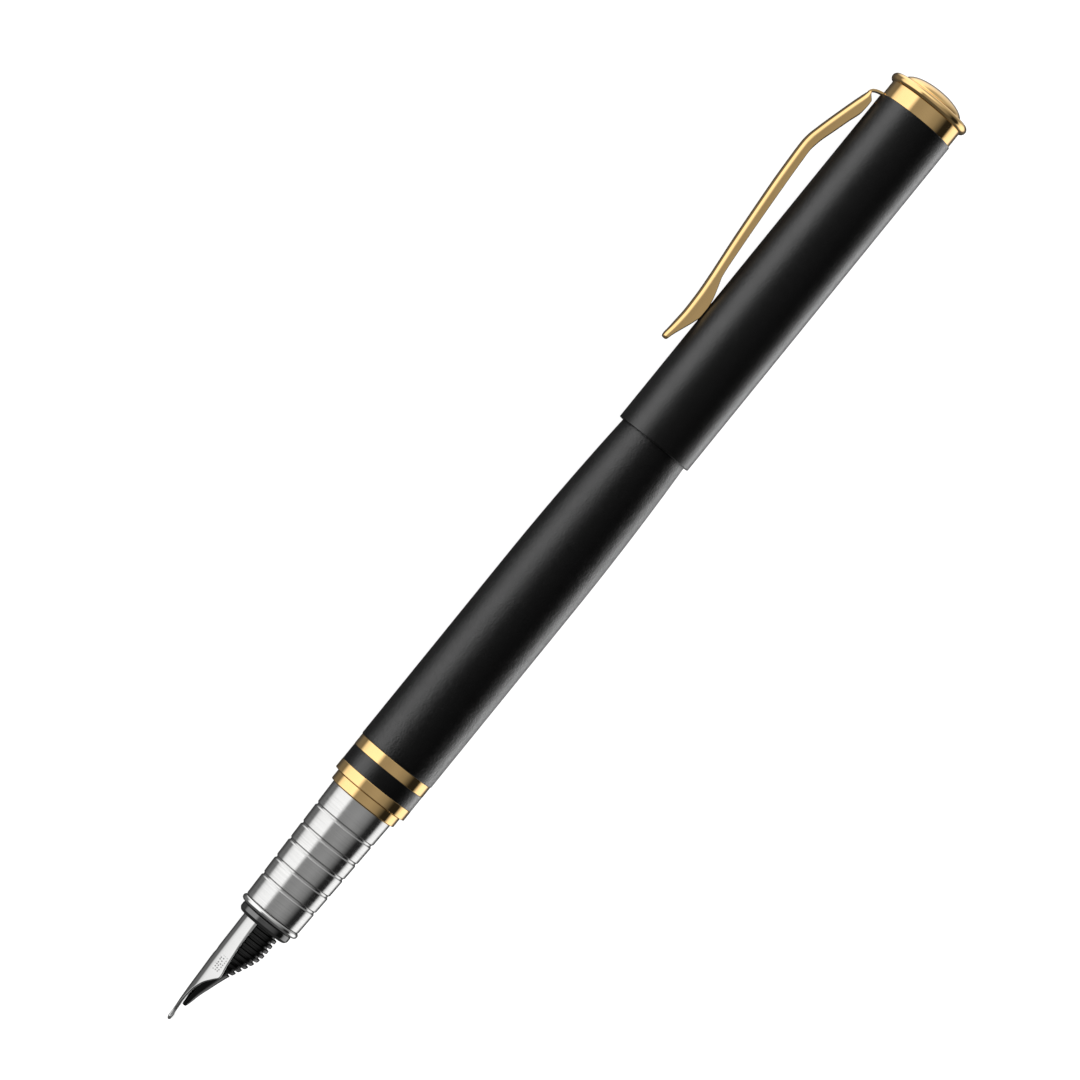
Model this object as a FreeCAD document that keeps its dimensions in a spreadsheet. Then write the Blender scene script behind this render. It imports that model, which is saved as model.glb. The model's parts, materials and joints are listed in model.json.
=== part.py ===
import FreeCAD, Part
import Sketcher
import math
import os

# Fountain pen with the cap posted on the barrel's tail. Every sub-part is built about one axis: x runs from
# the nib's tip to the cap's dome, z is the height above the axis on the clip's side, y is across the clip.

SHEET = "Dims"
# a cut that goes right through is this many times as long as the piece's own size
THROUGH = 4
GROOVES = 5
# millimetres; two edges closer than this are the same edge
TOLERANCE = 0.001
# millimetres; an edge of the clip shorter than this along the pen belongs to one of its ends
END_EDGE = 0.5

DIMENSIONS = {
    # how the pen lies on the table: on the cap's rim, the barrel and the clip's edge
    "pen_middle_x": 75.45,
    "pen_roll_angle": -119.3,
    "axis_side_shift": -1.53,
    "axis_height": 5.83,
    "part_gap": 0.05,
    "cut_margin": 1.0,
    # nib
    "nib_wall": 0.3,
    "nib_front_x": 0.7,
    "nib_front_top": 2.13,
    "nib_front_curve": 2.4,
    "nib_tine_x": 5.25,
    "nib_tine_top": 2.34,
    "nib_tine_curve": 3.1,
    "nib_wing_x": 8.4,
    "nib_wing_top": 2.55,
    "nib_wing_curve": 3.24,
    "nib_waist_x": 12.0,
    "nib_waist_top": 2.56,
    "nib_waist_curve": 3.09,
    "nib_heel_x": 16.4,
    "nib_heel_top": 2.7,
    "nib_end_x": 22.4,
    "nib_front_angle": 75.0,
    "nib_tine_angle": 78.0,
    "nib_wing_angle": 79.0,
    "nib_waist_angle": 72.0,
    "nib_heel_angle": 72.0,
    "nib_front_half": 0.34,
    "nib_tine_half": 1.8,
    "nib_wing_half": 3.15,
    "nib_heel_half": 2.65,
    "nib_tine_arc": 16.0,
    "nib_shoulder_arc": 9.0,
    "nib_slit": 0.08,
    "nib_breather_x": 10.6,
    "nib_breather_radius": 0.5,
    "nib_ball_x": 0.65,
    "nib_ball_height": 1.83,
    "nib_ball_long": 0.65,
    "nib_ball_thick": 0.34,
    "nib_ball_wide": 0.42,
    # feed
    "feed_tip_x": 2.6,
    "feed_tip_half": 0.45,
    "feed_tip_side": 1.5,
    "feed_tip_top": 1.76,
    "feed_tip_under": 1.12,
    "feed_beak_x": 5.9,
    "feed_beak_half": 1.5,
    "feed_beak_side": 1.45,
    "feed_beak_top": 1.98,
    "feed_beak_under": 0.21,
    "feed_throat_x": 8.4,
    "feed_throat_half": 2.0,
    "feed_throat_side": 1.1,
    "feed_throat_top": 2.13,
    "feed_throat_under": -0.62,
    "feed_belly_x": 12.9,
    "feed_belly_half": 2.5,
    "feed_belly_side": 0.0,
    "feed_belly_top": 2.22,
    "feed_belly_under": -2.55,
    "feed_heel_x": 16.4,
    "feed_heel_half": 2.3,
    "feed_heel_side": 0.45,
    "feed_heel_top": 2.33,
    "feed_heel_under": -2.65,
    "feed_radius": 2.68,
    "feed_seat_radius": 2.35,
    "feed_seat_angle": 76.0,
    "feed_end_x": 22.5,
    "feed_slot_first_x": 8.9,
    "feed_slot_pitch": 0.79,
    "feed_slot_width": 0.42,
    "feed_slot_depth": 0.9,
    "feed_slope_per_slot": 0.31,
    "feed_slot_first_under": -0.83,
    "ink_channel_width": 0.3,
    "ink_channel_floor": 1.2,
    # nib housing in the section's nose
    "housing_front_x": 16.4,
    "housing_bore": 2.75,
    "housing_lip": 3.3,
    "housing_radius": 3.75,
    "housing_lip_arc": 0.55,
    "housing_lip_x": 17.05,
    "housing_flange_x": 17.6,
    "housing_sleeve": 3.3,
    "housing_sleeve_end_x": 25.0,
    "housing_seat_x": 23.0,
    "nipple_root_x": 26.0,
    "nipple_radius": 1.7,
    "nipple_bore": 0.6,
    "nipple_end_x": 30.5,
    # nose ring
    "nose_front_x": 17.65,
    "nose_back_x": 18.45,
    "nose_shoulder": 4.02,
    "nose_bead_arc": 0.42,
    # grip section
    "grip_front_x": 18.5,
    "grip_front": 4.1,
    "grip_back_x": 36.3,
    "grip_back": 4.54,
    "grip_edge": 0.12,
    "grip_bore_front": 3.35,
    "grip_bore_mid": 3.6,
    "grip_bore_back": 3.87,
    "grip_step_front_x": 25.2,
    "grip_step_back_x": 30.0,
    "groove_half": 0.26,
    "groove_floor_half": 0.1,
    "groove_depth": 0.22,
    "groove_1_x": 21.6,
    "groove_2_x": 24.25,
    "groove_3_x": 27.1,
    "groove_4_x": 29.6,
    "groove_5_x": 32.6,
    # section ring and coupler
    "section_ring_front_x": 36.33,
    "section_ring_back_x": 37.68,
    "section_ring_radius": 4.94,
    "section_ring_bore": 4.22,
    "ring_edge": 0.15,
    "coupler_front_x": 30.1,
    "coupler_end_x": 45.8,
    "coupler_bore": 3.55,
    "coupler_sleeve": 3.85,
    "coupler_seat": 4.2,
    "coupler_seat_x": 36.31,
    "coupler_relief_x": 37.9,
    "thread_root": 3.95,
    "thread_crest": 4.2,
    "thread_overlap": 0.05,
    "thread_start_x": 38.4,
    "thread_length": 6.0,
    "thread_pitch": 1.0,
    "thread_base_half": 0.4,
    "thread_crest_half": 0.1,
    # barrel mouth
    "bush_front_x": 37.76,
    "bush_back_x": 52.0,
    "bush_radius": 4.75,
    "bush_bore": 4.25,
    "bush_chamfer": 0.2,
    "lip_ring_back_x": 39.2,
    "lip_ring_radius": 5.44,
    "band_back_x": 41.5,
    "band_radius": 5.42,
    "trim_back_x": 43.1,
    "trim_edge": 0.12,
    "band_edge": 0.08,
    # barrel
    "barrel_radius": 5.52,
    "barrel_edge": 0.1,
    "barrel_taper_x": 71.5,
    "barrel_taper_arc": 400.0,
    "barrel_cone_x": 94.1,
    "barrel_cone_radius": 4.881,
    "barrel_tail_x": 113.0,
    "barrel_tail_radius": 3.811,
    "barrel_end_x": 114.0,
    "barrel_end_radius": 2.811,
    "barrel_end_arc": 1.05,
    "barrel_bore_taper_x": 72.0,
    "barrel_bore_mid_x": 92.0,
    "barrel_bore_mid": 4.2,
    "barrel_bore_end_x": 112.8,
    "barrel_bore_end": 2.95,
    # converter
    "mouth_front_x": 26.4,
    "mouth_socket": 1.73,
    "mouth_socket_end_x": 31.0,
    "mouth_radius": 3.4,
    "mouth_step_x": 32.0,
    "mouth_neck": 2.75,
    "mouth_neck_end_x": 36.0,
    "mouth_channel": 1.0,
    "reservoir_bore": 2.78,
    "reservoir_end_x": 66.0,
    "piston_front_x": 36.4,
    "piston_back_x": 40.0,
    "piston_lip": 2.75,
    "piston_waist": 2.25,
    "piston_lip_width": 0.9,
    "piston_socket": 1.0,
    "piston_socket_x": 37.6,
    "rod_tip": 0.97,
    "rod_radius": 1.45,
    "rod_end_x": 76.0,
    "rod_flat_half": 1.1,
    "guide_end_x": 69.0,
    "guide_hole": 1.5,
    "guide_flat_half": 1.15,
    "sleeve_front_x": 58.0,
    "sleeve_radius": 3.75,
    "sleeve_bore": 3.42,
    "sleeve_lip_x": 75.5,
    "sleeve_lip": 3.06,
    "sleeve_end_x": 76.0,
    "knob_front_x": 69.2,
    "knob_shank": 3.32,
    "knob_shank_end_x": 75.4,
    "knob_neck": 3.0,
    "knob_head_x": 76.2,
    "knob_head": 3.6,
    "knob_end_x": 98.0,
    "knob_end_arc": 1.2,
    "knob_bore": 1.6,
    "knob_bore_end_x": 97.0,
    "knob_rib_depth": 0.2,
    "knob_rib_width": 0.5,
    "knob_ribs": 18,
    "knob_ribs_start_x": 78.0,
    "knob_ribs_end_x": 95.0,
    # cap
    "cap_mouth_x": 94.1,
    "cap_radius": 5.45,
    "cap_bore": 5.05,
    "cap_floor_x": 145.2,
    "cap_end_x": 146.2,
    "cap_edge": 0.1,
    "stud_hole": 1.3,
    "liner_front_x": 98.5,
    "liner_radius": 5.0,
    "liner_grip": 4.66,
    "liner_grip_end_x": 112.4,
    "liner_snap": 4.35,
    "liner_snap_x": 112.8,
    "liner_snap_end_x": 113.2,
    "liner_pocket": 4.5,
    "liner_pocket_x": 113.4,
    "liner_pocket_end_x": 114.8,
    "liner_nib_space": 3.6,
    "liner_nib_x": 115.3,
    "liner_floor_x": 143.3,
    "liner_end_x": 144.9,
    "clip_ring_back_x": 146.5,
    "clip_ring_radius": 5.0,
    "clip_tab_half": 1.2,
    "clip_tab_height": 5.7,
    "collar_radius": 5.29,
    "collar_web_x": 147.0,
    "collar_back_x": 148.2,
    "boss_bore": 2.52,
    "rim_shoulder": 5.285,
    "rim_arc": 0.66,
    "rim_back_x": 149.5,
    "finial_boss": 2.5,
    "finial_base": 4.3,
    "finial_land": 0.12,
    "finial_apex_x": 150.9,
    "finial_dome_arc": 7.86,
    "screw_thread": 1.25,
    "screw_head_x": 142.0,
    "screw_head": 2.5,
    "screw_end_x": 149.2,
    "screw_slot_width": 0.6,
    "screw_slot_depth": 0.6,
    # clip arm
    "clip_half": 1.5,
    "clip_round": 0.5,
    "clip_tip_x": 105.3,
    "clip_tip_low": 7.0,
    "clip_tip_high": 7.82,
    "clip_tip_back_x": 106.0,
    "clip_flare_x": 109.6,
    "clip_flare_height": 7.5,
    "clip_flare_arc": 25.0,
    "clip_neck_x": 117.0,
    "clip_neck_height": 8.03,
    "clip_bend_x": 134.4,
    "clip_bend_height": 9.42,
    "clip_bend_end_x": 137.0,
    "clip_bend_end_height": 9.15,
    "clip_bend_arc": 7.0,
    "clip_end_x": 145.0,
    "clip_end_height": 6.95,
    "clip_end_low": 5.76,
    "clip_under_bend_x": 136.2,
    "clip_under_bend_height": 7.72,
    "clip_under_x": 134.4,
    "clip_under_height": 7.9,
    "clip_under_neck_x": 115.6,
    "clip_under_neck_height": 6.5,
    "clip_pad_back_x": 112.2,
    "clip_pad_back_height": 5.98,
    "clip_pad_arc": 1.2,
    "clip_pad_x": 110.6,
    "clip_pad_height": 5.72,
    "clip_wall": 0.4,
    "clip_roof": 0.7,
    "clip_shelf_x": 142.9,
    "clip_shelf_height": 5.85,
    "clip_lug_x": 144.35,
    "strap_half": 1.2,
    "strap_wall": 0.3,
    "strap_knee_x": 145.7,
    "strap_knee_height": 6.5,
    "strap_back_x": 146.45,
    "strap_back_height": 6.1,
    "strap_low": 5.76,
}


def text_of(item):
    """The expression of a size, or of a plain number."""
    return item.text if isinstance(item, Size) else repr(item)


def value_of(item):
    """The value of a size, or of a plain number."""
    return item.value if isinstance(item, Size) else item


class Size:
    """A length with its value in millimetres and the spreadsheet expression that gives it."""

    def __init__(self, text, value):
        self.text = text
        self.value = value

    def __add__(self, other):
        return Size(f"({self.text} + {text_of(other)})", self.value + value_of(other))

    def __sub__(self, other):
        return Size(f"({self.text} - {text_of(other)})", self.value - value_of(other))

    def __mul__(self, other):
        return Size(f"({self.text} * {text_of(other)})", self.value * value_of(other))

    def __truediv__(self, other):
        return Size(f"({self.text} / {text_of(other)})", self.value / value_of(other))

    def __neg__(self):
        return Size(f"(0 - {self.text})", -self.value)


doc = FreeCAD.newDocument("fountain_pen")
sheet = doc.addObject("Spreadsheet::Sheet", SHEET)
size = {}
for row, (alias, number) in enumerate(DIMENSIONS.items(), start=1):
    sheet.set(f"A{row}", alias.replace("_", " "))
    sheet.set(f"B{row}", str(number))
    sheet.setAlias(f"B{row}", alias)
    size[alias] = Size(f"{SHEET}.{alias}", number)
doc.recompute()

AXIS = Size("0", 0.0)


def new_body(label):
    """A PartDesign body whose label names the sub-part."""
    body = doc.addObject("PartDesign::Body", label)
    body.Label = label
    return body


def origin_feature(body, role):
    """One of the body's own planes or axes."""
    return [item for item in body.Origin.OriginFeatures if item.Role == role][0]


def new_sketch(body, name, role, offset=None):
    """A sketch on one of the body's own origin planes, moved along the plane's normal by offset."""
    sketch = body.newObject("Sketcher::SketchObject", name)
    sketch.AttachmentSupport = (origin_feature(body, role), [""])
    sketch.MapMode = "FlatFace"
    if offset is not None:
        sketch.AttachmentOffset = FreeCAD.Placement(FreeCAD.Vector(0, 0, offset.value), FreeCAD.Rotation())
        sketch.setExpression("AttachmentOffset.Base.z", offset.text)
    return sketch


def pin_point(sketch, geometry, end, point):
    """Binds one end of a sketch line or arc to two sizes."""
    for kind, coordinate in zip(("DistanceX", "DistanceY"), point):
        index = sketch.addConstraint(Sketcher.Constraint(kind, -1, 1, geometry, end, coordinate.value))
        sketch.setExpression(f"Constraints[{index}]", coordinate.text)


def arc_between(start, end, radius, side):
    """A short arc between two points, its centre on the left (side 1) or right (side -1) of start to end."""
    chord = end - start
    middle = (start + end) * 0.5
    reach = math.sqrt(max(radius * radius - chord.Length * chord.Length / 4, 0.0))
    left = FreeCAD.Vector(-chord.y, chord.x, 0).normalize()
    centre = middle + left * (side * reach)
    circle = Part.Circle(centre, FreeCAD.Vector(0, 0, 1), radius)
    angles = [math.atan2(point.y - centre.y, point.x - centre.x) for point in (start, end)]
    if side < 0:
        angles.reverse()
    return Part.ArcOfCircle(circle, angles[0], angles[1])


def draw_outline(sketch, points):
    """A closed outline. A point is (across, up), or (across, up, radius, side) where an arc leaves it."""
    first = sketch.GeometryCount
    count = len(points)
    for index, point in enumerate(points):
        following = points[(index + 1) % count]
        start = FreeCAD.Vector(point[0].value, point[1].value, 0)
        end = FreeCAD.Vector(following[0].value, following[1].value, 0)
        if len(point) == 4:
            sketch.addGeometry(arc_between(start, end, point[2].value, point[3]), False)
        else:
            sketch.addGeometry(Part.LineSegment(start, end), False)
    for index, point in enumerate(points):
        geometry = first + index
        following = first + (index + 1) % count
        start_end = (2, 1) if len(point) == 4 and point[3] < 0 else (1, 2)
        after = points[(index + 1) % count]
        next_start = 2 if len(after) == 4 and after[3] < 0 else 1
        sketch.addConstraint(Sketcher.Constraint("Coincident", geometry, start_end[1], following, next_start))
        pin_point(sketch, geometry, start_end[0], point[:2])
        if len(point) == 4:
            constraint = sketch.addConstraint(Sketcher.Constraint("Radius", geometry, point[2].value))
            sketch.setExpression(f"Constraints[{constraint}]", point[2].text)


def draw_circle(sketch, across, up, radius):
    """A circle whose centre and radius are bound to sizes."""
    centre = FreeCAD.Vector(across.value, up.value, 0)
    geometry = sketch.addGeometry(Part.Circle(centre, FreeCAD.Vector(0, 0, 1), radius.value), False)
    pin_point(sketch, geometry, 3, (across, up))
    constraint = sketch.addConstraint(Sketcher.Constraint("Radius", geometry, radius.value))
    sketch.setExpression(f"Constraints[{constraint}]", radius.text)


def bind(feature, **properties):
    """Binds a feature's properties to sizes."""
    for name, item in properties.items():
        feature.setExpression(name, item.text)


def turned(body, name, points, kind="Revolution"):
    """A turned solid, or a turned cut: the outline (x, radius) swept round the pen's axis."""
    sketch = new_sketch(body, f"{name}_outline", "XZ_Plane")
    draw_outline(sketch, points)
    feature = body.newObject(f"PartDesign::{kind}", name)
    feature.Profile = sketch
    feature.ReferenceAxis = (sketch, ["H_Axis"])
    feature.Angle = 360
    doc.recompute()
    return feature


def edges_at(feature, places):
    """The names of the circular edges whose x and radius are in places."""
    names = []
    for index, edge in enumerate(feature.Shape.Edges, start=1):
        if not isinstance(edge.Curve, Part.Circle):
            continue
        for x, radius in places:
            near_x = abs(edge.Curve.Center.x - x.value) < TOLERANCE
            near_radius = abs(edge.Curve.Radius - radius.value) < TOLERANCE
            about_axis = abs(edge.Curve.Axis.x) > 1 - TOLERANCE
            if near_x and near_radius and about_axis:
                names.append(f"Edge{index}")
    return names


def eased(body, name, base, places, radius, kind="Fillet"):
    """A fillet or chamfer on the circular edges at places."""
    names = edges_at(base, places)
    feature = body.newObject(f"PartDesign::{kind}", name)
    feature.Base = (base, names)
    if kind == "Fillet":
        bind(feature, Radius=radius)
    else:
        bind(feature, Size=radius)
    doc.recompute()
    return feature


def padded(body, name, role, outlines, length, offset=None, middle=False, kind="Pad"):
    """A pad or a pocket of one or more closed outlines drawn on an origin plane."""
    sketch = new_sketch(body, f"{name}_outline", role, offset)
    for points in outlines:
        draw_outline(sketch, points)
    feature = body.newObject(f"PartDesign::{kind}", name)
    feature.Profile = sketch
    feature.Midplane = middle
    bind(feature, Length=length)
    doc.recompute()
    return feature


def rectangle(left, low, right, high):
    """The outline of a rectangle."""
    return [(left, low), (right, low), (right, high), (left, high)]


def shell(radius_in, radius_out, front, back):
    """The outline of a plain ring."""
    return rectangle(front, radius_in, back, radius_out)


def crescent(body, name, x, centre, inner, curve, edge_angle):
    """A crescent across the pen: two arcs about one centre, joined at the edges."""
    sketch = new_sketch(body, name, "YZ_Plane", x)
    half_angle = math.radians(edge_angle.value)
    sine, cosine = math.sin(half_angle), math.cos(half_angle)
    draw_outline(
        sketch,
        [
            (curve * -sine, centre + curve * cosine),
            (inner * -sine, centre + inner * cosine, inner, -1),
            (inner * sine, centre + inner * cosine),
            (curve * sine, centre + curve * cosine, curve, 1),
        ],
    )
    return sketch


def nib_section(body, name, top, curve, edge_angle):
    """One cross-section of the nib's bent sheet."""
    inner = curve - size["nib_wall"]
    return crescent(body, f"nib_{name}", size[f"nib_{name}_x"], top - curve, inner, curve, edge_angle)


def build_nib():
    """The nib: a bent steel sheet lofted from tip to heel, trimmed to its plan outline, slit, and tipped."""
    body = new_body("nib")
    sections = []
    for name in ("front", "tine", "wing", "waist"):
        top, curve, angle = (size[f"nib_{name}_{key}"] for key in ("top", "curve", "angle"))
        sections.append(nib_section(body, name, top, curve, angle))
    heel_top = size["nib_heel_top"]
    for name in ("heel", "end"):
        sections.append(nib_section(body, name, heel_top, heel_top, size["nib_heel_angle"]))
    doc.recompute()
    sheet_metal = body.newObject("PartDesign::AdditiveLoft", "nib_sheet")
    sheet_metal.Profile = sections[0]
    sheet_metal.Sections = sections[1:]
    sheet_metal.Ruled = True
    doc.recompute()
    margin, overrun = size["cut_margin"], size["part_gap"]
    front_x, tine_x, wing_x = size["nib_front_x"], size["nib_tine_x"], size["nib_wing_x"]
    heel_x, end_x = size["nib_heel_x"], size["nib_end_x"]
    front, tine, wing, heel = (size[f"nib_{name}_half"] for name in ("front", "tine", "wing", "heel"))
    outside = rectangle(front_x - margin, -wing - margin, end_x + margin, wing + margin)
    plan = [
        (front_x - overrun, -front),
        (front_x, -front, size["nib_tine_arc"], -1),
        (tine_x, -tine, size["nib_shoulder_arc"], -1),
        (wing_x, -wing),
        (heel_x, -heel),
        (end_x + overrun, -heel),
        (end_x + overrun, heel),
        (heel_x, heel),
        (wing_x, wing, size["nib_shoulder_arc"], -1),
        (tine_x, tine, size["nib_tine_arc"], -1),
        (front_x, front),
        (front_x - overrun, front),
    ]
    tall = size["nib_wing_curve"] * THROUGH
    trim = padded(body, "nib_trim", "XY_Plane", [outside, plan], tall, middle=True, kind="Pocket")
    ball = body.newObject("PartDesign::AdditiveEllipsoid", "nib_ball")
    bind(
        ball,
        Radius1=size["nib_ball_thick"],
        Radius2=size["nib_ball_long"],
        Radius3=size["nib_ball_wide"],
    )
    ball.AttachmentSupport = (origin_feature(body, "XY_Plane"), [""])
    ball.MapMode = "FlatFace"
    ball.setExpression("AttachmentOffset.Base.x", size["nib_ball_x"].text)
    ball.setExpression("AttachmentOffset.Base.z", size["nib_ball_height"].text)
    doc.recompute()
    slit_half = size["nib_slit"] / 2
    slit = rectangle(front_x - margin, -slit_half, size["nib_breather_x"], slit_half)
    padded(body, "nib_slit", "XY_Plane", [slit], tall, middle=True, kind="Pocket")
    sketch = new_sketch(body, "nib_breather_outline", "XY_Plane")
    draw_circle(sketch, size["nib_breather_x"], AXIS, size["nib_breather_radius"])
    breather = body.newObject("PartDesign::Pocket", "nib_breather")
    breather.Profile = sketch
    breather.Midplane = True
    bind(breather, Length=tall)
    doc.recompute()
    return body


def feed_section(body, name, x, half, side, top, under):
    """One cross-section of the feed: an arc under the nib and an arc below, meeting at the two sides."""
    sketch = new_sketch(body, name, "YZ_Plane", x)
    radii = []
    for rise in (top - side, side - under):
        radii.append((half * half + rise * rise) / (rise * 2))
    draw_outline(sketch, [(half, side, radii[0], 1), (-half, side, radii[1], 1)])
    return sketch


def build_feed():
    """The feed: a lofted plastic beak with transverse slots below and an ink channel above."""
    body = new_body("feed")
    sections = []
    for name in ("tip", "beak", "throat", "belly", "heel"):
        values = [size[f"feed_{name}_{key}"] for key in ("x", "half", "side", "top", "under")]
        sections.append(feed_section(body, f"feed_{name}", *values))
    doc.recompute()
    beak = body.newObject("PartDesign::AdditiveLoft", "feed_beak")
    beak.Profile = sections[0]
    beak.Sections = sections[1:]
    beak.Ruled = True
    doc.recompute()
    heel_from = size["feed_heel_x"] - size["part_gap"]
    heel_end, radius = size["feed_end_x"], size["feed_radius"]
    turned(body, "feed_heel", rectangle(heel_from, AXIS, heel_end, radius))
    seat = body.newObject("PartDesign::Pocket", "nib_seat")
    far = radius + size["cut_margin"]
    seat.Profile = crescent(
        body, "nib_seat_outline", heel_end, AXIS, size["feed_seat_radius"], far, size["feed_seat_angle"]
    )
    bind(seat, Length=heel_end - heel_from)
    doc.recompute()
    slots = []
    lowest = -radius
    x = size["feed_slot_first_x"]
    under = size["feed_slot_first_under"]
    while x.value + size["feed_slot_width"].value < size["housing_front_x"].value:
        floor = under if under.value > lowest.value else lowest
        bottom = lowest - size["feed_slot_depth"]
        slots.append(rectangle(x, bottom, x + size["feed_slot_width"], floor + size["feed_slot_depth"]))
        x = x + size["feed_slot_pitch"]
        under = under - size["feed_slope_per_slot"]
    padded(body, "feed_slots", "XZ_Plane", slots, radius * THROUGH, middle=True, kind="Pocket")
    half = size["ink_channel_width"] / 2
    channel = rectangle(-half, size["ink_channel_floor"], half, far)
    padded(body, "ink_channel", "YZ_Plane", [channel], heel_end * THROUGH, middle=True, kind="Pocket")
    return body


def build_housing():
    """The nib housing: a collar in front, a sleeve round the feed, and the ink nipple behind."""
    body = new_body("nib_housing")
    turned(body, "housing", [
        (size["housing_front_x"], size["housing_bore"]),
        (size["housing_front_x"], size["housing_lip"], size["housing_lip_arc"], -1),
        (size["housing_lip_x"], size["housing_radius"]),
        (size["housing_flange_x"], size["housing_radius"]),
        (size["housing_flange_x"], size["housing_sleeve"]),
        (size["housing_sleeve_end_x"], size["housing_sleeve"]),
        (size["nipple_root_x"], size["nipple_radius"]),
        (size["nipple_end_x"], size["nipple_radius"]),
        (size["nipple_end_x"], size["nipple_bore"]),
        (size["housing_seat_x"], size["nipple_bore"]),
        (size["housing_seat_x"], size["housing_bore"]),
    ])
    return body


def build_nose_ring():
    """The bright bead ring between the housing's collar and the grip section."""
    body = new_body("nose_ring")
    turned(body, "bead", [
        (size["nose_front_x"], size["grip_bore_front"]),
        (size["nose_front_x"], size["nose_shoulder"], size["nose_bead_arc"], -1),
        (size["nose_back_x"], size["nose_shoulder"]),
        (size["nose_back_x"], size["grip_bore_front"]),
    ])
    return body


def build_grip():
    """The steel grip sleeve, slightly tapered, with five turned grooves."""
    body = new_body("grip_section")
    slope = (size["grip_back"] - size["grip_front"]) / (size["grip_back_x"] - size["grip_front_x"])
    points = [
        (size["grip_front_x"], size["grip_bore_front"]),
        (size["grip_front_x"], size["grip_front"]),
    ]
    for number in range(1, GROOVES + 1):
        middle = size[f"groove_{number}_x"]
        surface = size["grip_front"] + (middle - size["grip_front_x"]) * slope
        floor = surface - size["groove_depth"]
        points.append((middle - size["groove_half"], surface))
        points.append((middle - size["groove_floor_half"], floor))
        points.append((middle + size["groove_floor_half"], floor))
        points.append((middle + size["groove_half"], surface))
    points += [
        (size["grip_back_x"], size["grip_back"]),
        (size["grip_back_x"], size["grip_bore_back"]),
        (size["grip_step_back_x"], size["grip_bore_back"]),
        (size["grip_step_back_x"], size["grip_bore_mid"]),
        (size["grip_step_front_x"], size["grip_bore_mid"]),
        (size["grip_step_front_x"], size["grip_bore_front"]),
    ]
    sleeve = turned(body, "sleeve", points)
    ends = [(size["grip_front_x"], size["grip_front"]), (size["grip_back_x"], size["grip_back"])]
    eased(body, "sleeve_edges", sleeve, ends, size["grip_edge"])
    return body


def build_section_ring():
    """The small gold ring behind the grip section."""
    body = new_body("section_ring")
    front, back = size["section_ring_front_x"], size["section_ring_back_x"]
    radius = size["section_ring_radius"]
    ring = turned(body, "ring", shell(size["section_ring_bore"], radius, front, back))
    eased(body, "ring_edges", ring, [(front, radius), (back, radius)], size["ring_edge"])
    return body


def build_coupler():
    """The threaded sleeve that joins the section to the barrel."""
    body = new_body("section_coupler")
    turned(body, "coupler", [
        (size["coupler_front_x"], size["coupler_bore"]),
        (size["coupler_front_x"], size["coupler_sleeve"]),
        (size["coupler_seat_x"], size["coupler_sleeve"]),
        (size["coupler_seat_x"], size["coupler_seat"]),
        (size["coupler_relief_x"], size["coupler_seat"]),
        (size["coupler_relief_x"], size["thread_root"]),
        (size["coupler_end_x"], size["thread_root"]),
        (size["coupler_end_x"], size["coupler_bore"]),
    ])
    sketch = new_sketch(body, "thread_outline", "XZ_Plane")
    middle = size["thread_start_x"]
    root = size["thread_root"] - size["thread_overlap"]
    draw_outline(sketch, [
        (middle - size["thread_base_half"], root),
        (middle + size["thread_base_half"], root),
        (middle + size["thread_crest_half"], size["thread_crest"]),
        (middle - size["thread_crest_half"], size["thread_crest"]),
    ])
    doc.recompute()
    thread = body.newObject("PartDesign::AdditiveHelix", "thread")
    thread.Profile = sketch
    thread.ReferenceAxis = (sketch, ["H_Axis"])
    thread.Mode = 0
    bind(thread, Pitch=size["thread_pitch"], Height=size["thread_length"])
    doc.recompute()
    return body


def build_barrel_rings():
    """The gold lip ring, the black band and the gold trim ring pressed on the bush."""
    bore = size["bush_radius"]
    rings = (
        ("barrel_ring", "bush_front_x", "lip_ring_back_x", "lip_ring_radius", "trim_edge"),
        ("barrel_band", "lip_ring_back_x", "band_back_x", "band_radius", "band_edge"),
        ("barrel_trim_ring", "band_back_x", "trim_back_x", "lip_ring_radius", "trim_edge"),
    )
    bodies = []
    for label, front, back, radius, edge in rings:
        body = new_body(label)
        ring = turned(body, f"{label}_solid", shell(bore, size[radius], size[front], size[back]))
        places = [(size[front], size[radius]), (size[back], size[radius])]
        eased(body, f"{label}_edges", ring, places, size[edge])
        bodies.append(body)
    return bodies


def build_bush():
    """The bush in the barrel's mouth. Its bore is cut at the thread's crest, with a running gap."""
    body = new_body("barrel_bush")
    front, back = size["bush_front_x"], size["bush_back_x"]
    bush = turned(body, "bush", shell(size["bush_bore"], size["bush_radius"], front, back))
    places = [(front, size["bush_bore"]), (back, size["bush_bore"])]
    eased(body, "bush_lead", bush, places, size["bush_chamfer"], kind="Chamfer")
    return body


def build_barrel():
    """The barrel: straight, then a long arc into a cone, and a closed rounded tail."""
    body = new_body("barrel_tube")
    barrel = turned(body, "barrel", [
        (size["trim_back_x"], size["bush_radius"]),
        (size["trim_back_x"], size["barrel_radius"]),
        (size["barrel_taper_x"], size["barrel_radius"], size["barrel_taper_arc"], -1),
        (size["barrel_cone_x"], size["barrel_cone_radius"]),
        (size["barrel_tail_x"], size["barrel_tail_radius"], size["barrel_end_arc"], -1),
        (size["barrel_end_x"], size["barrel_end_radius"]),
        (size["barrel_end_x"], AXIS),
        (size["barrel_bore_end_x"], AXIS),
        (size["barrel_bore_end_x"], size["barrel_bore_end"]),
        (size["barrel_bore_mid_x"], size["barrel_bore_mid"]),
        (size["barrel_bore_taper_x"], size["bush_radius"]),
    ])
    eased(body, "barrel_front", barrel, [(size["trim_back_x"], size["barrel_radius"])], size["barrel_edge"])
    return body


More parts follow.
